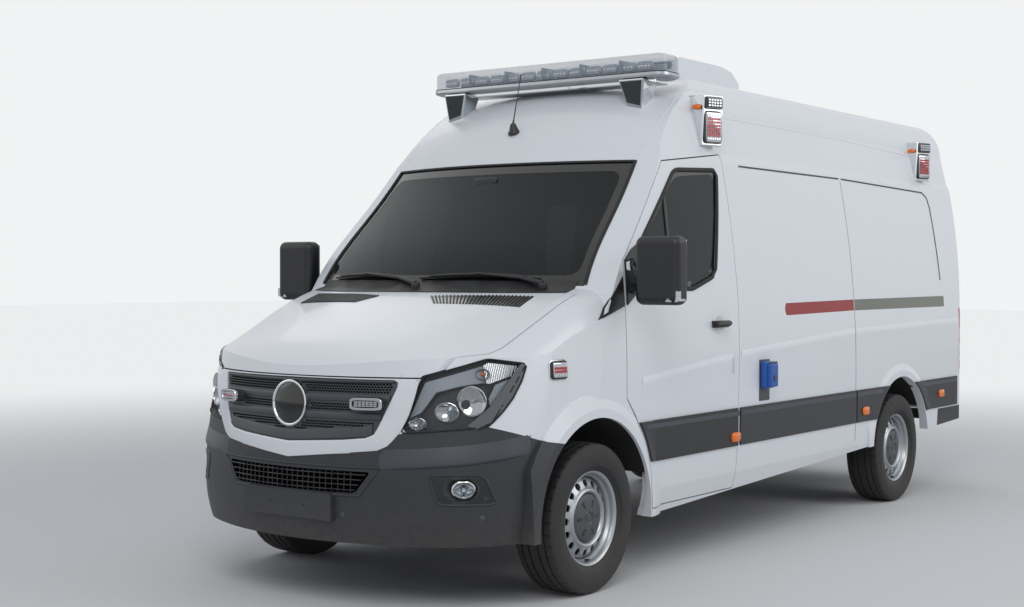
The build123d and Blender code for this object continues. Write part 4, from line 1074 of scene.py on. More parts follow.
Soup().lathe([(0.091, 0.002), (0.093, 0.0072), (0.098, 0.0085), (0.103, 0.0062), (0.104, -0.01)],
             facing(bp, Vector((0, -1, 0.05))), 64).done("grille_badge_edge", "bright_metal", smooth=60)

LAMP_CAD = [(0.316, 1.088), (0.14, 0.822), (-0.24, 0.793), (-0.146, 1.034), (0.138, 1.112)]
LENS = trees(["headlamps"])


def mirror_x(v, sx):
    """The point on the side that sx names."""
    return Vector((v.x * sx, v.y, v.z))


def lamp_patch(name, outline, inset, mat, sx, step=0.03, thick=0.003):
    """Closed skin inside the lamp, at a depth behind the lens, from a 45 degree outline."""
    pts, faces = fill([dense(outline, step)], step)
    hits, n = [onto_lamp(p[0], p[1], LENS)[0] for p in pts], len(pts)
    verts = [mirror_x(h + INWARD * depth, sx) for depth in (inset, inset + thick) for h in hits]
    faces = [tuple(f) for f in faces] + [tuple(i + n for i in reversed(f)) for f in faces] + hem(faces, n)
    return sharpen(make(name, verts, faces, mat), 30)


def headlamp(sx, side):
    """The lamp's inner parts behind the lens, and the seal round it."""
    def at(h, z, depth):
        """Point at a depth behind the lens."""
        return mirror_x(onto_lamp(h, z, LENS)[0] + INWARD * depth, sx)

    aim = Vector((0.42 * sx, -0.9, 0)).normalized()

    def bowl(name, h, z, r, depth, mat="reflector", squash=1.0, bulb=True):
        """A round reflector with its bulb."""
        m = facing(at(h, z, depth), aim) @ Matrix.Diagonal((squash, 1, 1, 1))
        prof = [(r * 1.06, 0.004), (r * 1.06, 0.01), (r, 0.011), (r * 0.97, 0.006)]
        prof += [(r * 0.97 * k / 8, 0.006 - 0.02 * (1 - (k / 8) ** 2)) for k in range(7, 0, -1)]
        Soup().lathe(prof, m, 40).done(f"{name}_{side}", mat, smooth=35)
        if bulb:
            Soup().lathe([(0.0, 0.01), (r * 0.1, 0.009), (r * 0.15, 0.0), (r * 0.16, -0.012), (0, -0.014)], m,
                         20).done(f"{name}_bulb_{side}", "led_clear", smooth=60)

    # upper reflector band: indicator chamber, ribbed towards the tip
    band = [(-0.2, 0.856), (-0.15, 0.88), (-0.085, 0.965), (0.02, 0.992), (0.13, 1.004), (0.118, 1.08),
            (-0.13, 1.01)]
    lamp_patch(f"headlamp_upper_{side}", band, 0.022, "smoke_chrome", sx)
    tip = [(0.132, 1.004), (0.15, 1.006), (0.245, 1.036), (0.288, 1.076), (0.14, 1.094), (0.12, 1.082)]
    lamp_patch(f"headlamp_tip_{side}", tip, 0.012, "ribbed_reflector", sx, step=0.02)
    bowl("headlamp_turn", 0.118, 1.046, 0.024, 0.014, mat="smoke_chrome", squash=1.3, bulb=False)
    Soup().lathe([(0.0, 0.01), (0.006, 0.0085), (0.009, 0.002), (0.009, -0.004)],
                 facing(at(0.118, 1.046, 0.012), aim), 16).done(
                     f"headlamp_turn_bulb_{side}", "amber_lens", smooth=60)
    edge = [(-0.205, 0.85), (-0.15, 0.872), (-0.085, 0.965), (0.02, 0.992), (0.15, 1.008), (0.255, 1.038)]
    Soup().tube([at(a, b, 0.017) for a, b in edge], 0.0035, 8).done(
        f"headlamp_trim_{side}", "lamp_housing", smooth=60)
    bowl("headlamp_main", 0.068, 0.93, 0.062, 0.02)
    bowl("headlamp_high", -0.04, 0.884, 0.04, 0.022, squash=1.25)
    bowl("headlamp_corner", -0.165, 0.832, 0.026, 0.022, squash=1.5)
    outer = [(0.15, 0.88), (0.232, 0.985), (0.258, 1.03), (0.17, 0.998), (0.14, 0.94)]
    lamp_patch(f"headlamp_side_{side}", outer, 0.016, "smoke_chrome", sx)
    pts, depth = [], 0.55
    for a, b in dense(rounded(LAMP_CAD, 0.022), 0.012):
        mid = lamp_origin(a, b)
        edge_hit = LENS.ray_cast(mid, INWARD)[0]
        if edge_hit is None:
            near = LENS.find_nearest(mid + INWARD * depth)[0]
            edge_hit = mid + INWARD * (near - mid).dot(INWARD)
        depth = (edge_hit - mid).dot(INWARD)
        outer_hit = onto_lamp(a, b, SKIN)[0]
        if (outer_hit - edge_hit).length < 0.025:
            edge_hit = outer_hit
        pts.append(mirror_x(edge_hit - INWARD * 0.003, sx))
    Soup().tube(pts, 0.0034, 8, closed=True).done(f"headlamp_gasket_{side}", "seal_rubber", smooth=60)


for sx, side in PAIR:
    headlamp(sx, side)
LAMP_EDGE = [(-0.472, 1.078), (-0.48, 1.06), (-0.503, 1.014), (-0.551, 0.943), (-0.604, 0.882), (-0.649, 0.838),
             (-0.7, 0.812)]
for kind, sx, side in SIDES:
    patch(f"headlamp_wing_edge_{side}", kind,
          LAMP_EDGE + [(-0.735, 0.826), (-0.64, 0.915), (-0.56, 1.015), (-0.5, 1.084)], "lens_smoke",
          thick=0.003, step=0.03)
    ribbon(f"headlamp_wing_gasket_{side}", kind, LAMP_EDGE, 0.009, 0.006, "seal_rubber", step=0.02)


def fog_lamp(sx, side):
    """Bowl, lens, bulb and surround of a fog lamp."""
    n = Vector((0.62 * sx, -0.78, 0)).normalized()
    c = row(sx * 0.781, -0.742, 0.551)
    m = facing(c, n)
    Soup().lathe([(0.047, 0.0), (0.047, 0.006), (0.041, 0.008), (0.038, 0.002), (0.03, -0.012), (0.014, -0.022),
                  (0.0, -0.024)], m @ Matrix.Diagonal((1.15, 0.86, 1, 1)), 40).done(
                      f"fog_bowl_{side}", "reflector", smooth=35)
    Soup().lathe([(0.0, 0.009), (0.02, 0.0085), (0.036, 0.006), (0.04, 0.003)],
                 m @ Matrix.Diagonal((1.12, 0.84, 1, 1)), 40).done(f"fog_lens_{side}", "clear_lens", smooth=60)
    Soup().lathe([(0.0, 0.0), (0.006, -0.002), (0.009, -0.012), (0.0, -0.02)], m, 20).done(
        f"fog_bulb_{side}", "led_clear", smooth=60)
    Soup().lathe([(0.046, -0.004), (0.064, -0.006), (0.064, -0.012), (0.046, -0.01)],
                 m @ Matrix.Diagonal((1.2, 0.9, 1, 1)), 40, closed=True).done(
                     f"fog_surround_{side}", "black_plastic", smooth=40)


for sx, side in PAIR:
    fog_lamp(sx, side)
BUMPER = trees(["front_bumper"])
sensors = Soup()
for x, z in ((0.295, 0.43), (-0.295, 0.43), (0.85, 0.43), (-0.85, 0.43)):
    h, n = onto("F", x, z, BUMPER)
    sensors.lathe([(0.0, 0.0022), (0.009, 0.002), (0.0105, 0.0005), (0.0125, 0.0008), (0.0132, -0.001)],
                  facing(h, n), 24)
sensors.done("parking_sensors", "cap_grey", smooth=50)
pads = Soup()
for x in (-0.185, 0.185):
    pts = superellipse(0.075, 0.07, 6, 28)
    base = [onto("F", x + a, 0.461 + b, BUMPER)[0] for a, b in pts]
    base = [Vector((p.x, max(p.y, -2.953), p.z)) for p in base]
    pads.tube(base, 0.0018, 5, closed=True)
pads.done("plate_pad_moulding", "black_plastic", smooth=60)
# air intake: black panel that paints the shade inside the opening, grid and raised lip over the plain opening
INTAKE = [(-0.43, 0.622), (-0.36, 0.528), (0.36, 0.528), (0.43, 0.622)]
SLOT_LOW, SLOT_TOP = 0.57, 0.668


def bumper_y(x, z):
    """Bumper face, carried straight over the intake slot."""
    if abs(x) > 0.36 or not 0.56 < z < 0.66:
        return onto("F", x, z, BUMPER)[0].y
    a, b = onto("F", x, SLOT_LOW, BUMPER)[0].y, onto("F", x, SLOT_TOP, BUMPER)[0].y
    return a + (b - a) * (z - SLOT_LOW) / (SLOT_TOP - SLOT_LOW)


def bumper_point(x, z, out, limit):
    """Point over the bumper face that stays behind the limit of y."""
    return Vector((x, max(limit, bumper_y(x, z) - out), z))


def skin_panel(name, outline, mat, out, step=0.03):
    """A panel over the bumper face inside the outline."""
    pts, faces = fill([dense(outline, step)], step, 0.4)
    return sharpen(make(name, [bumper_point(p[0], p[1], out, -2.9535) for p in pts], faces, mat), 40)


def lip(soup, outline, out, r):
    """A raised line round an outline on the bumper, left out where the bumper ends."""
    pts = []
    for p in dense(outline, 0.02):
        if abs(onto("F", p[0], p[1], BUMPER)[0].x - p[0]) < 0.003:
            pts.append(bumper_point(p[0], p[1], out, -2.95 + r * 0.3))
    soup.tube(pts, r, 8, closed=True)


def fog_pocket(sx):
    """Outline of the fog lamp's pocket."""
    return rounded([(sx * 0.672, 0.618), (sx * 0.856, 0.618), (sx * 0.892, 0.488), (sx * 0.706, 0.49)], 0.03)


skin_panel("intake_shade_panel", rounded(INTAKE, 0.02), "hole_shade_black", 0.0012)
skin_panel("intake_brow", [(-0.35, 0.618), (-0.35, 0.664), (0.35, 0.664), (0.35, 0.618)], "dark_plastic", 0.0006)
grid = Soup()
for i in range(4):
    z = 0.541 + i * 0.0225
    half = 0.36 + 0.07 * (z - 0.528) / 0.094 - 0.01
    grid.tube([bumper_point(x, z, 0.0018, -2.9515) for x in np.linspace(-half, half, 41)], 0.003, 6)
for i in range(27):
    x = (i - 13) * 0.031
    if abs(x) < 0.35:
        grid.tube([bumper_point(x, z, 0.0018, -2.9515) for z in (0.531, 0.56, 0.59, 0.619)], 0.0026, 6)
lips = Soup()
lip(lips, [(-0.47, 0.64), (-0.38, 0.516), (0.38, 0.516), (0.47, 0.64)], -0.001, 0.006)
for sx in (1, -1):
    lip(lips, fog_pocket(sx), -0.001, 0.0055)
lips.done("bumper_lips", "dark_plastic", smooth=60)


def shoulder(sx, side):
    """Raised shoulder round the bumper corner, with a crease along its lower edge, in a lighter grey that paints
    the highlight on it.
    """
    prof = [(-0.006, -0.002), (-0.004, 0.005), (0.0, 0.0085), (0.008, 0.009), (0.03, 0.007), (0.055, 0.004),
            (0.08, 0.0004)]
    crease = [(-0.33, 0.64), (-0.15, 0.65), (0.04, 0.664), (0.2, 0.682), (0.33, 0.7)]
    path = dense(crease, 0.02, closed=False)
    v = []
    for i, (h, z) in enumerate(path):
        fade = min(1.0, i / 6, (len(path) - 1 - i) / 6)
        for dz, out in prof:
            p, n = onto_lamp(h, z + dz, BUMPER)
            n = n if n.dot(Vector((1, -1, 0))) > 0 else -n
            p = p + n * (out * fade if out > 0 else out)
            v.append(mirror_x(Vector((p.x, max(p.y, -2.9545), p.z)), sx))
    f = quads(len(path), len(prof))
    sharpen(make(f"bumper_shoulder_{side}", v, f if sx > 0 else [q[::-1] for q in f], "strip_edge_highlight"), 40)


for sx, side in PAIR:
    shoulder(sx, side)
# fog pockets: a black skin inside each pocket's outline, painted as the shade of the recessed pocket
for kind, sx, side in SIDES:
    ring_hole = [(sx * 0.787 + 0.061 * math.cos(a), 0.555 + 0.0505 * math.sin(a))
                 for a in [2 * math.pi * k / 28 for k in range(28)]]
    patch(f"fog_pocket_{side}", "F", fog_pocket(sx), "black_plastic", thick=0.001, step=0.03, holes=[ring_hole],
          tree=BUMPER)
grid.done("intake_grid", "black_plastic", smooth=60)
Soup().box((-0.4, aft(-0.88), 0.505), (0.4, aft(-0.872), 0.64)).done("intake_radiator", "radiator")

# ---- bonnet vents ----
BONNET = trees(["bonnet"])


def cowl_vent(sx, side):
    """Dark panel with slats at the back of the bonnet."""
    quad = [(0.158, -0.207), (0.686, -0.083), (0.694, -0.211), (0.245, -0.292)]
    q = [(sx * a, b) for a, b in quad]
    patch(f"cowl_vent_base_{side}", "T", q if sx > 0 else q[::-1], "gloss_black", "bonnet", thick=0.0008,
          step=0.06, tree=BONNET)
    soup = Soup()
    for i in range(27):
        t = (i + 0.5) / 27
        a = Vector(quad[3]).lerp(Vector(quad[2]), t)
        b = Vector(quad[0]).lerp(Vector(quad[1]), t)
        ribbon("", "T", [(sx * a.x, a.y), (sx * b.x, b.y)], 0.0075, 0.0052, "black_plastic", "bonnet",
               tree=BONNET, step=0.05, into=soup)
    soup.done(f"cowl_vent_slats_{side}", "black_plastic", "bonnet", smooth=40)


for sx, side in PAIR:
    cowl_vent(sx, side)

# ---- wheels: tyres with tread, caps, bright rings ----
def tyre_mesh(name, centre, body):
    """Tyre with sidewall rings, four ring grooves and shoulder blocks, as one grid about the axle."""
    side = [(0.082, 0.206), (0.086, 0.215), (0.0885, 0.219), (0.093, 0.223), (0.099, 0.23), (0.105, 0.241),
            (0.1075, 0.244), (0.109, 0.2443), (0.1098, 0.2475), (0.1118, 0.258), (0.113, 0.27), (0.1138, 0.279),
            (0.1135, 0.29), (0.1128, 0.296), (0.1134, 0.2975), (0.113, 0.2995), (0.1118, 0.306), (0.11, 0.316),
            (0.1072, 0.327), (0.1038, 0.3365), (0.1, 0.342), (0.096, 0.3455)]
    tread = [(0.0925, 0.347), (0.08, 0.3486), (0.068, 0.3492), (0.0672, 0.342), (0.0602, 0.342), (0.0594, 0.3499),
             (0.044, 0.3505), (0.03, 0.3506), (0.0292, 0.343), (0.0208, 0.343), (0.02, 0.3508), (0.01, 0.3509)]
    half = side + tread
    prof = half + [(-a, r) for a, r in reversed(half)]
    cut = {}
    n_half, n = len(half), len(prof)
    for i in range(n):
        j = i if i < n_half else n - 1 - i
        a, r = prof[i]
        cut[i] = (r > 0.3455 and abs(a) > 0.06) or (j >= n_half - 1) or (0.03 < abs(a) < 0.06 and r > 0.349)
    seg, pitch = 320, 8
    verts = []
    for k in range(seg):
        w = 2 * math.pi * k / seg
        for i, (a, r) in enumerate(prof):
            ph = k + (3 if a > 0.062 else 0) + (5 if a < -0.062 else 0) + (2 if 0.03 < abs(a) < 0.06 else 0)
            rr = r
            j = i if i < n_half else n - 1 - i
            if cut[i] and ph % pitch == 0:
                rr = r - (0.0055 if abs(a) > 0.062 else 0.003)
            if 17 <= j <= 21 and (k + (3 if a > 0 else 5)) % pitch == 0:
                rr = r - 0.0022
            verts.append(Vector((centre.x + a, centre.y + rr * math.cos(w), centre.z + rr * math.sin(w))))
    return sharpen(make(name, verts, quads(seg, n, True, True), "tyre_rubber", body), 24)


def rim_mesh(name, m, body):
    """Pressed steel wheel: flange, well, and a disc with sixteen round holes and a raised ring."""
    soup = Soup()
    flange = [(0.22, 0.086), (0.2205, 0.0895), (0.2185, 0.0915), (0.215, 0.0905), (0.2115, 0.087),
              (0.2075, 0.084), (0.205, 0.08), (0.2035, 0.07), (0.201, 0.062), (0.1955, 0.057), (0.1925, 0.05),
              (0.1915, 0.038), (0.19, 0.03)]
    soup.lathe(flange, m, 120)
    soup.lathe([(0.19, 0.03), (0.184, 0.02), (0.184, -0.03), (0.2, -0.056), (0.2035, -0.08), (0.215, -0.088),
                (0.22, -0.086)], m, 96)

    def rise(r):
        """Height of the wheel disc's face at a radius."""
        knots = [(0.113, 0.06), (0.1165, 0.068), (0.122, 0.076), (0.1285, 0.079), (0.1345, 0.0765), (0.14, 0.07),
                 (0.144, 0.065), (0.16, 0.059), (0.178, 0.05), (0.186, 0.041), (0.19, 0.03)]
        for (ra, za), (rb, zb) in zip(knots, knots[1:]):
            if ra <= r <= rb:
                t = (r - ra) / (rb - ra)
                return za + (zb - za) * t
        return knots[0][1] if r < knots[0][0] else knots[-1][1]

    soup.lathe([(r, rise(r)) for r in (0.113, 0.1165, 0.119, 0.122, 0.125, 0.1285, 0.1315, 0.1345, 0.1375, 0.14,
                                       0.142)], m, 128)
    soup.lathe([(r, rise(r)) for r in (0.181, 0.1835, 0.186, 0.188, 0.19)], m, 128)
    r_in, r_out, r_mid, hole = 0.142, 0.181, 0.161, 0.0172
    for k in range(16):
        a0 = 2 * math.pi * k / 16
        half = math.pi / 16
        outer = [(r_out, -half + half * i / 4) for i in range(4)] + [(r_out, half * i / 4) for i in range(4)]
        outer += [(r_out, half)] + [(r_out + (r_in - r_out) * i / 4, half) for i in range(1, 4)]
        outer += [(r_in, half - 2 * half * i / 8) for i in range(8)] + [(r_in, -half)]
        outer += [(r_in + (r_out - r_in) * i / 4, -half) for i in range(1, 4)]
        v, n = [], len(outer)
        for r, a in outer:
            v.append(m @ Vector((r * math.cos(a0 + a), r * math.sin(a0 + a), rise(r))))
        for depth in (0.0, -0.004, -0.009):
            for r, a in outer:
                p = Vector((r * math.cos(a), r * math.sin(a), 0)) - Vector((r_mid, 0, 0))
                p = Vector((r_mid, 0, 0)) + p.normalized() * hole * (1.0 if depth == 0 else 0.93)
                rr = p.length
                p.z = rise(rr) + depth
                v.append(m @ (Matrix.Rotation(a0, 3, "Z") @ p))
        soup.add(v, quads(4, n, False, True, False))
    return soup.done(name, "wheel_silver", body, smooth=35)


def wheel(prefix, cy, sx):
    """Tyre, rim, hub cap, brake and valve of one wheel."""
    tyre_body = WHEEL_BODY[prefix]
    c = Vector((sx * HALF_TRACK, cy, AXLE_Z))
    t = tyre_mesh(f"{prefix}_tyre_tread", c, tyre_body)
    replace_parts(t, f"{prefix}_tyre")
    m = Matrix.Translation(c) @ Matrix.Rotation(math.radians(90 * sx), 4, "Y")
    cap, slots = Soup(), Soup()
    rim = rim_mesh(f"{prefix}_rim_steel", m, tyre_body)
    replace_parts(rim, f"{prefix}_rim")
    cap.lathe([(0.0, 0.079), (0.012, 0.079), (0.014, 0.0765), (0.026, 0.0765), (0.03, 0.08), (0.046, 0.08),
               (0.07, 0.0775), (0.096, 0.0735), (0.11, 0.069), (0.1145, 0.062), (0.1145, 0.054), (0.0, 0.054)], m,
               72)
    cap.done(f"{prefix}_hub_cap", "cap_grey", tyre_body, smooth=40)
    for k in range(6):
        a = 2 * math.pi * (k + 0.5) / 6
        mm = m @ Matrix.Rotation(a, 4, "Z")
        slots.prism([(0.058, -0.006), (0.086, -0.0085), (0.09, 0.0), (0.086, 0.0085), (0.058, 0.006),
                     (0.054, 0.0)], 0.001, raised(mm, 0.0845) @ Matrix.Rotation(math.radians(4.5), 4, "Y"))
    slots.lathe([(0.0305, 0.0802), (0.0335, 0.0812), (0.0365, 0.0802)], m, 48)
    slots.done(f"{prefix}_cap_slots", "gloss_black", tyre_body)
    Soup().lathe([(0.0, 0.03), (0.15, 0.03), (0.16, 0.022), (0.16, -0.04), (0.0, -0.04)], m, 48).done(
        f"{prefix}_brake", "seal_rubber", tyre_body, smooth=40)
    Soup().tube([m @ Vector((0.1985, 0.0, 0.056)), m @ Vector((0.193, 0.0, 0.082))], [0.0055, 0.004], 10).done(
        f"{prefix}_valve", "black_plastic", tyre_body, smooth=50)


WHEEL_BODY = {node[:-4]: body for body, members in frame["record"]["behaviour"]["bodies"].items()
              for node in members if node.endswith("_rim")}
for sx, side in PAIR:
    wheel(f"front_{side}", AXLE_F, sx)
    wheel(f"rear_{side}", AXLE_F + WHEELBASE, sx)


# ---- roof: light bar, air unit, antenna, seams ----
modules, dividers, bright = Soup(), Soup(), Soup()
for i in range(13):
    x = -0.642 + i * 0.107
    for s, face in ((0.992, -1), (1.12, 1)):
        m = facing(row(x, s, 2.576), Vector((0, face, 0)))
        modules.prism(superellipse(0.094, 0.046, 6, 20), 0.016, m, 0.004, 0.004)
        for dx in (-0.03, -0.01, 0.01, 0.03):
            bright.lathe([(0.0, 0.0165), (0.004, 0.0172), (0.0085, 0.0215), (0.0095, 0.0215), (0.0095, 0.016)],
                         m @ Matrix.Translation((dx, 0, 0)), 14)
modules.done("bar_modules", "smoke_chrome", smooth=40)
bright.done("bar_reflectors", "reflector", smooth=50)
for x in (-0.5, -0.25, 0.0, 0.25, 0.5):
    dividers.box(row(x - 0.003, 0.956, 2.5386), row(x + 0.003, 1.159, 2.612))
dividers.done("bar_dividers", "bar_rib")
Soup().box(row(-0.7, 0.975, 2.5386), row(0.7, 1.14, 2.546)).done("bar_floor", "cap_grey")


def bar_plan(inset, r):
    """The light bar's outline from above."""
    half, depth = 0.77 - inset, 0.1125 - inset
    return rounded([(-half, -depth), (half, -depth), (half, depth), (-half, depth)], r, seg=8)


def bar_band(name, levels, mat):
    """Rounded-rectangle sections of the light bar, stacked; each level is (inset, height)."""
    rows = [[Vector((p.x, aft(1.0575) + p.y, z)) for p in bar_plan(inset, 0.075 - inset)] for inset, z in levels]
    points, faces = loft(rows)
    return sharpen(make(name, points, faces + ends(len(rows), len(rows[0])), mat), 30)


tray = bar_band("bar_tray", [(0.03, 2.506), (0.006, 2.514), (0.0, 2.522), (0.0, 2.5365), (0.006, 2.5378)],
                "brushed_metal")
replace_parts(tray, "light_bar_base")
bar_band("bar_seam", [(0.004, 2.5372), (0.0015, 2.5385), (0.0015, 2.5405), (0.004, 2.5418)], "seal_rubber")
rail = Soup()
rail.box(row(-0.7, 0.99, 2.484), row(0.7, 1.125, 2.508))
bevelled(rail.done("bar_rail", "bright_metal"), 0.006, 2)
for sx, side in PAIR:
    foot, face = Soup(), Soup()
    top = [(0.508, 0.93), (0.662, 0.93), (0.662, 1.075), (0.508, 1.075)]
    low = [(0.546, 0.95), (0.642, 0.95), (0.642, 1.075), (0.546, 1.075)]
    lo_z = [onto("T", sx * a, b)[0].z - 0.006 for a, b in low]
    v = [row(sx * a, b, 2.506) for a, b in top] + [row(sx * a, b, z) for (a, b), z in zip(low, lo_z)]
    foot.add(v, [(0, 1, 2, 3), (7, 6, 5, 4), (0, 4, 5, 1), (1, 5, 6, 2), (2, 6, 7, 3), (3, 7, 4, 0)])
    bevelled(foot.done(f"bar_foot_{side}", "bright_metal"), 0.008, 3)
    # front face of the foot: its dark green-grey colour is a painted reflection
    q = [row(sx * a, b, z) for a, b, z in ((0.52, 0.93, 2.494), (0.65, 0.93, 2.494),
                                           (0.634, 0.9455, lo_z[1] + 0.024), (0.554, 0.9455, lo_z[0] + 0.024))]
    back = [p + Vector((0, 0.004, 0)) for p in q]
    face.add(q + back, [(0, 1, 2, 3), (7, 6, 5, 4), (0, 4, 5, 1), (1, 5, 6, 2), (2, 6, 7, 3), (3, 7, 4, 0)])
    face.done(f"bar_foot_face_{side}", "painted_reflection_mirror")

ROOF = trees(["roof_panel"])
for sx, side in PAIR:
    # wedge-shaped seam beside the raised dome
    pts = [(0.77, 0.713), (0.776, 0.861), (0.766, 1.05), (0.754, 1.208), (0.742, 1.5)]
    ribbon(f"roof_seam_{side}", "T", [(sx * a, b) for a, b in pts], 0.01, 0.0016, "white_paint", step=0.06)
for i, x in enumerate((-0.46, -0.23, 0.0, 0.23, 0.46)):
    for j, (a, b) in enumerate(((1.3, 1.56), (2.5, 4.52)) if abs(x) < 0.45 else ((1.3, 4.52),)):
        ribbon(f"roof_rib_{i}_{j}", "T", [(x, a), (x, b)], 0.05, 0.0035, "white_paint", step=0.1, tree=ROOF)
vents = Soup()
for sx in (1, -1):
    for k in range(9):
        s = 1.76 + k * 0.055
        x0, x1 = sorted((sx * 0.4385, sx * 0.4395))
        vents.box((x0, aft(s), 2.64), (x1, aft(s + 0.03), 2.695))
for k in range(7):
    s = 1.8 + k * 0.048
    vents.box((-0.3, aft(s), 2.72), (0.3, aft(s + 0.02), 2.7215))
vents.done("air_unit_vents", "gloss_black")
AIR = trees(["roof_air_unit"])
patch("air_unit_front", "F", rounded([(-0.425, 2.648), (0.425, 2.648), (0.425, 2.693), (-0.425, 2.693)], 0.02),
      "dark_plastic", thick=0.0008, step=0.05, tree=AIR)
h, n = onto("T", 0.0, 0.7)
Soup().lathe([(0.0, 0.052), (0.012, 0.05), (0.017, 0.04), (0.026, 0.012), (0.034, 0.003), (0.034, -0.006)],
             facing(h, Vector((0, -0.25, 1))), 32).done("antenna_base", "black_plastic", smooth=50)
soup = Soup()
b0 = h + Vector((0, -0.01, 0.046))
tip = Vector((0, h.y + 0.062, 2.556))
soup.tube([b0, b0.lerp(tip, 0.12), b0.lerp(tip, 0.5), tip], [0.0065, 0.0035, 0.0028, 0.002], 8)
soup.done("antenna_whip", "black_plastic", smooth=60)


# ---- corner lamps ----
def corner_lamp(s, z, sx, name):
    """Wedge housing on the roof shoulder with two lens blocks on its outer face and a marker on its front."""
    plan_lo = [(0.8, s - 0.012), (0.85, s - 0.022), (0.893, s + 0.118), (0.885, s + 0.128), (0.8, s + 0.128)]
    plan_hi = [(0.742, s - 0.034), (0.862, s - 0.02), (0.905, s + 0.118), (0.896, s + 0.13), (0.742, s + 0.13)]
    body = Soup()
    v = [row(sx * a, b, z) for a, b in plan_lo] + [row(sx * a, b, z + 0.268) for a, b in plan_hi]
    body.add(v, [(0, 1, 2, 3, 4), (9, 8, 7, 6, 5)] + [(i, (i + 1) % 5, (i + 1) % 5 + 5, i + 5) for i in range(5)])
    o = bevelled(body.done(f"{name}_housing", "bright_metal"), 0.006, 3)
    d = Vector((0.138, -0.043, 0)).normalized()
    n = Vector((sx * d.x, d.y, 0.0))

    def on_face(t, zz, out):
        """Point over the housing's outer face."""
        a = Vector((0.862 - 0.012 * (1 - (zz - z) / 0.268), s - 0.02))
        b = Vector((0.905 - 0.012 * (1 - (zz - z) / 0.268), s + 0.118))
        p = a.lerp(b, t)
        return row(sx * p.x, p.y, zz) + n * out

    for part, z0, z1, rows, cols, tint in (("low", z + 0.012, z + 0.186, 8, 6, "led_red"),
                                           ("high", z + 0.194, z + 0.262, 3, 5, None)):
        zc, hh = (z0 + z1) / 2, z1 - z0
        m = facing(on_face(0.5, zc, 0.0), n, up=Vector((-0.04 * sx, 0, 1)))
        Soup().prism(superellipse(0.128, hh, 9, 44), 0.012, raised(m, -0.003), 0.006, 0.005).done(
            f"{name}_{part}_block", "gloss_black", smooth=40)
        led_panel(f"{name}_{part}", raised(m, 0.0085), 0.108, hh - 0.02, rows, cols, split=tint, radius=0.01)
    fm = facing(row(sx * 0.822, s - 0.0275, z + 0.205), Vector((0.05 * sx, -1, 0.02)))
    Soup().lathe([(0.0, 0.0115), (0.01, 0.0105), (0.016, 0.006), (0.018, 0.0)],
                 fm @ Matrix.Diagonal((1.5, 0.85, 1, 1)), 32).done(f"{name}_oval", "amber_lens", smooth=50)
    return o


corner = []
for sx, side in PAIR:
    corner.append(corner_lamp(1.24, 2.165, sx, f"corner_front_{side}"))
    corner.append(corner_lamp(4.27, 2.135, sx, f"corner_rear_{side}"))
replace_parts(corner[0], "corner_lamps")


# ---- rear: doors, lamps, step ----
for sx, side in PAIR:
    body = f"{side}_rear_door"
    tree = trees([f"{side}_rear_door", f"{side}_rear_glass"])
    win = [(sx * a, b) for a, b in ((0.087, 1.342), (0.087, 1.968), (0.697, 1.968), (0.734, 1.342))]
    win = win if sx < 0 else win[::-1]
    ribbon(f"{side}_rear_window_seal", "B", rounded(win, 0.06), 0.026, 0.006, "seal_rubber", body, closed=True,
           tree=tree)
    ribbon(f"{side}_rear_door_press_top", "B", [(sx * 0.09, 1.255), (sx * 0.745, 1.255)], 0.022, 0.0022,
           "white_paint", body, tree=tree)
    ribbon(f"{side}_rear_door_press_low", "B", [(sx * 0.09, 0.7), (sx * 0.76, 0.7)], 0.022, 0.0022, "white_paint",
           body, tree=tree)
    # three hinges on each door edge
    straps = Soup()
    for z in (0.64, 1.33, 1.9):
        hx = 0.845 if z < 1.6 else 0.832
        straps.tube([(sx * hx, 2.9405, z - 0.045), (sx * hx, 2.9405, z + 0.045)], 0.0085, 14)
    straps.done(f"{side}_rear_hinge_pins", "cap_grey", body, smooth=50)
    # tail lamps: red over amber over clear chambers
    tail_tree = trees(["tail_lamps"])
    for name, lo, hi, mat in (("red", 1.098, 1.236, "red_lens"), ("amber", 0.992, 1.092, "amber_lens"),
                              ("clear", 0.9, 0.986, "led_clear"), ("low", 0.816, 0.894, "red_lens")):
        q = [(sx * 0.874, lo), (sx * 0.874, hi), (sx * 0.964, hi), (sx * 0.966, lo)]
        q = rounded(q if sx < 0 else q[::-1], 0.012)
        patch(f"tail_{name}_{side}", "B", q, mat, thick=0.004, step=0.05, tree=tail_tree)
handle = Soup()
handle.tube([(-0.075, 2.949, 1.135), (-0.075, 2.9525, 1.1), (-0.075, 2.9525, 1.02), (-0.075, 2.949, 0.985)],
            0.0024, 8)
back = trees(["left_rear_door", "right_rear_door", "left_rear_glass", "right_rear_glass"])
recess = [(-0.135, 0.955), (-0.135, 1.165), (-0.03, 1.165), (-0.03, 0.955)]
patch("rear_handle_recess", "B", rounded(recess, 0.03), "black_plastic", "right_rear_door", thick=0.0016,
      step=0.05, tree=back)
handle.done("rear_handle_line", "dark_plastic", "right_rear_door", smooth=60)
plate = [(0.13, 0.82), (0.13, 0.955), (0.66, 0.955), (0.66, 0.82)]
patch("rear_plate_pad", "B", rounded(plate[::-1], 0.012), "dark_plastic", "left_rear_door", thick=0.0022,
      step=0.1, tree=back)
m = facing(Vector((0, onto("B", 0.0, 2.4)[0].y, 2.4)), Vector((0, 1, 0)))
Soup().prism(superellipse(0.36, 0.04, 6, 40), 0.009, m, 0.006, 0.004).done(
    "high_stop_lamp", "red_lens", smooth=40)
tread = Soup()
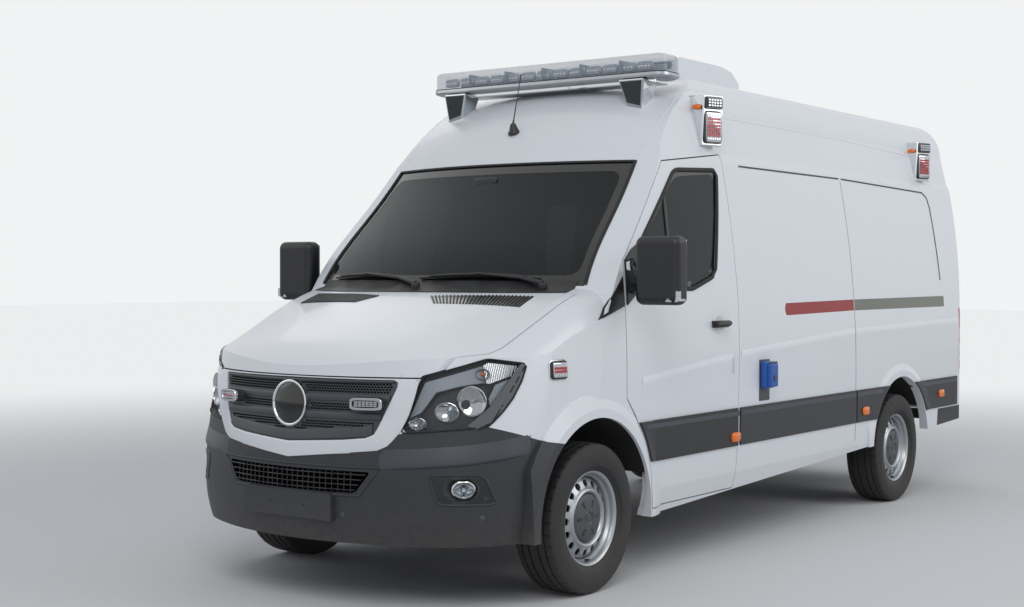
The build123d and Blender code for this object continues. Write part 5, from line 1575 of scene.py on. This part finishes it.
for k in range(34):
    x = -0.86 + k * 0.0521
    for r in range(4):
        turn = Matrix.Rotation(math.radians(45 if (k + r) % 2 else -45), 4, "Z")
        tread.prism([(-0.018, -0.0016), (0.018, -0.0016), (0.018, 0.0016), (-0.018, 0.0016)], 0.0022,
                    Matrix.Translation((x, 2.8 + r * 0.038, 0.5598)) @ turn)
tread.done("rear_step_tread", "black_plastic")


# ---- right side: sliding door rail, handle, window seal ----
slide_tree = trees(["sliding_door", "body_glass", "right_side_panel"])
win = [(1.552, 1.392), (1.552, 1.968), (2.688, 1.968), (2.688, 1.392)]
ribbon("sliding_window_seal", "R", rounded(win, 0.067), 0.026, 0.006, "seal_rubber", closed=True, tree=slide_tree)
ribbon("sliding_rail", "R", [(2.81, 1.205), (4.6, 1.215)], 0.03, 0.007, "dark_plastic", step=0.08)
ribbon("sliding_rail_slot", "R", [(2.83, 1.205), (4.58, 1.215)], 0.008, 0.0085, "gloss_black", step=0.08)
h, n = onto("R", 1.545, 1.235, slide_tree)
box_round("sliding_handle", (h.x - 0.026, aft(1.5), 1.215), (h.x + 0.004, aft(1.64), 1.25), 0.01, "black_plastic")
crease_strip("sliding_door_crease", "R", part_path(1.46, 2.78), "body", slide_tree)


# ---- cab inside ----
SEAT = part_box("cab_seats")


def cushion(name, lo, hi, lean, seams, cap):
    """A padded cushion: a shrunken rounded box that cloth pressure fills, then sewn lines pressed in."""
    lo, hi = Vector(lo), Vector(hi)
    mid, half = (lo + hi) / 2, (hi - lo) / 2
    bm = bmesh.new()
    bmesh.ops.create_cube(bm, size=2.0)
    bmesh.ops.subdivide_edges(bm, edges=bm.edges[:], cuts=9, use_grid_fill=True)
    for v in bm.verts:
        c = v.co
        e = [abs(t) ** 5 for t in c]
        k = sum(e) ** 0.2
        u = Vector([t / max(k, 1e-6) * max(abs(c.x), abs(c.y), abs(c.z)) for t in c])
        v.co = Vector((u.x * half.x * 0.97, u.y * half.y * 0.97, u.z * half.z * 0.97))
    o = from_bmesh(name, bm, "seat_fabric")
    me = o.data
    start = [v.co.copy() for v in me.vertices]
    cloth = o.modifiers.new("fill", "CLOTH")
    st = cloth.settings
    st.use_pressure = True
    st.uniform_pressure_force = 4.0
    st.effector_weights.gravity = 0.0
    st.mass = 0.4
    st.tension_stiffness = st.compression_stiffness = 25
    cloth.point_cache.frame_start, cloth.point_cache.frame_end = 1, 20
    for f in range(1, 21):
        bpy.context.scene.frame_set(f)
    dg = bpy.context.evaluated_depsgraph_get()
    ev = o.evaluated_get(dg).to_mesh()
    for v, w, s in zip(me.vertices, ev.vertices, start):
        d = w.co - s
        if d.length > cap:
            d = d.normalized() * cap
        v.co = s + d
    o.evaluated_get(dg).to_mesh_clear()
    o.modifiers.remove(cloth)
    bpy.context.scene.frame_set(1)
    for v in me.vertices:
        c = v.co
        push = 0.0
        for axis, at, width, depth, face in seams:
            d = (c[axis] - at) / width
            if (c[face[0]] > 0) == (face[1] > 0) and abs(c[face[0]]) > half[face[0]] * 0.6:
                push += depth * math.exp(-d * d)
        v.co[seams[0][4][0]] -= push * seams[0][4][1] if seams else 0
        for i in range(3):
            v.co[i] = max(-half[i], min(half[i], v.co[i]))
    m = Matrix.Translation(mid) @ Matrix.Rotation(lean, 4, "X")
    me.transform(m)
    s = o.modifiers.new("soft", "SUBSURF")
    s.levels = s.render_levels = 1
    for p in me.polygons:
        p.use_smooth = True
    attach(o, "body")
    return o


seat_parts = []
for sx, side in PAIR:
    x0, x1 = sorted((sx * 0.245, sx * 0.715))
    y0 = SEAT[0][1]
    base = cushion(f"seat_cushion_{side}", (x0, y0 + 0.02, 0.985), (x1, y0 + 0.5, 1.125), 0.0,
                   [(0, -0.135, 0.012, 0.01, (2, 1)), (0, 0.135, 0.012, 0.01, (2, 1)),
                    (1, -0.03, 0.012, 0.007, (2, 1))], 0.014)
    back_c = cushion(f"seat_back_{side}", (x0 + 0.01, y0 + 0.5, 1.1), (x1 - 0.01, y0 + 0.625, 1.69),
                     math.radians(-6), [(0, -0.13, 0.012, 0.009, (1, -1)), (0, 0.13, 0.012, 0.009, (1, -1)),
                                        (2, 0.1, 0.012, 0.007, (1, -1))], 0.012)
    head = cushion(f"seat_headrest_{side}", (sx * 0.48 - 0.125, y0 + 0.565, 1.715),
                   (sx * 0.48 + 0.125, y0 + 0.665, 1.875), math.radians(-4), [(0, 0.0, 0.02, 0.0, (1, -1))],
                   0.008)
    box = Soup()
    box.box((x0 + 0.05, y0 + 0.06, 0.645), (x1 - 0.05, y0 + 0.46, 0.985))
    frame_o = box.done(f"seat_base_{side}", "cabin_plastic")
    bevelled(frame_o, 0.012, 3)
    posts = Soup()
    for dx in (-0.06, 0.06):
        posts.tube([(sx * 0.48 + dx, y0 + 0.6, 1.665), (sx * 0.48 + dx, y0 + 0.612, 1.74)], 0.006, 10)
    posts.done(f"headrest_posts_{side}", "bright_metal", smooth=50)
    seat_parts += [base, back_c, head]
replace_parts(seat_parts[0], "cab_seats")

col = row(0.44, 0.52, 1.3)
wheel_m = facing(col, Vector((0, 0.62, 0.78)))
rim_soup = Soup()
rim_soup.tube([wheel_m @ Vector((0.188 * math.cos(a), 0.188 * math.sin(a), 0.03))
               for a in [2 * math.pi * k / 48 for k in range(48)]], 0.014, 10, closed=True)
for a in (math.radians(200), math.radians(340), math.radians(270)):
    rim_soup.tube([wheel_m @ Vector((0.05 * math.cos(a), 0.05 * math.sin(a), 0.012)),
                   wheel_m @ Vector((0.185 * math.cos(a), 0.185 * math.sin(a), 0.03))], [0.02, 0.011], 10)
rim_soup.lathe([(0.0, 0.03), (0.05, 0.028), (0.066, 0.016), (0.068, -0.01), (0.03, -0.05), (0.028, -0.16),
                (0, -0.16)], wheel_m, 32)
rim_soup.done("steering_wheel", "cabin_plastic", smooth=60)
dash = trees(["dashboard"])
binnacle = facing(row(0.44, 0.33, 1.345), Vector((0, 0.7, 0.7)))
Soup().tube([binnacle @ Vector((0.17 * math.cos(a), 0.1 * math.sin(a), 0.0))
             for a in [math.pi * k / 12 for k in range(13)]], 0.018, 10).done(
                 "instrument_hood", "cabin_plastic", smooth=60)
for name, x, w, z in (("dash_vent_mid_a", -0.07, 0.11, 1.33), ("dash_vent_mid_b", 0.07, 0.11, 1.33)):
    h, n = onto("B", x, z, dash)
    soup = Soup()
    m = facing(h, n)
    soup.prism(superellipse(w, 0.065, 6, 32), 0.01, m, 0.008, 0.004)
    for k in range(5):
        soup.box((-w * 0.38, -0.024 + k * 0.011, 0.009), (w * 0.38, -0.02 + k * 0.011, 0.013), m)
    soup.done(name, "cabin_plastic")
m = facing(*onto("B", 0.0, 1.2, dash))
Soup().prism(superellipse(0.2, 0.12, 8, 32), 0.008, m, 0.006, 0.003).done(
    "centre_display", "gloss_black", smooth=40)
m2 = facing(*onto("T", -0.35, 0.22, dash))
Soup().prism(superellipse(0.42, 0.16, 5, 32), 0.005, m2, 0.01, 0.003).done(
    "dash_top_pad", "cabin_plastic", smooth=40)
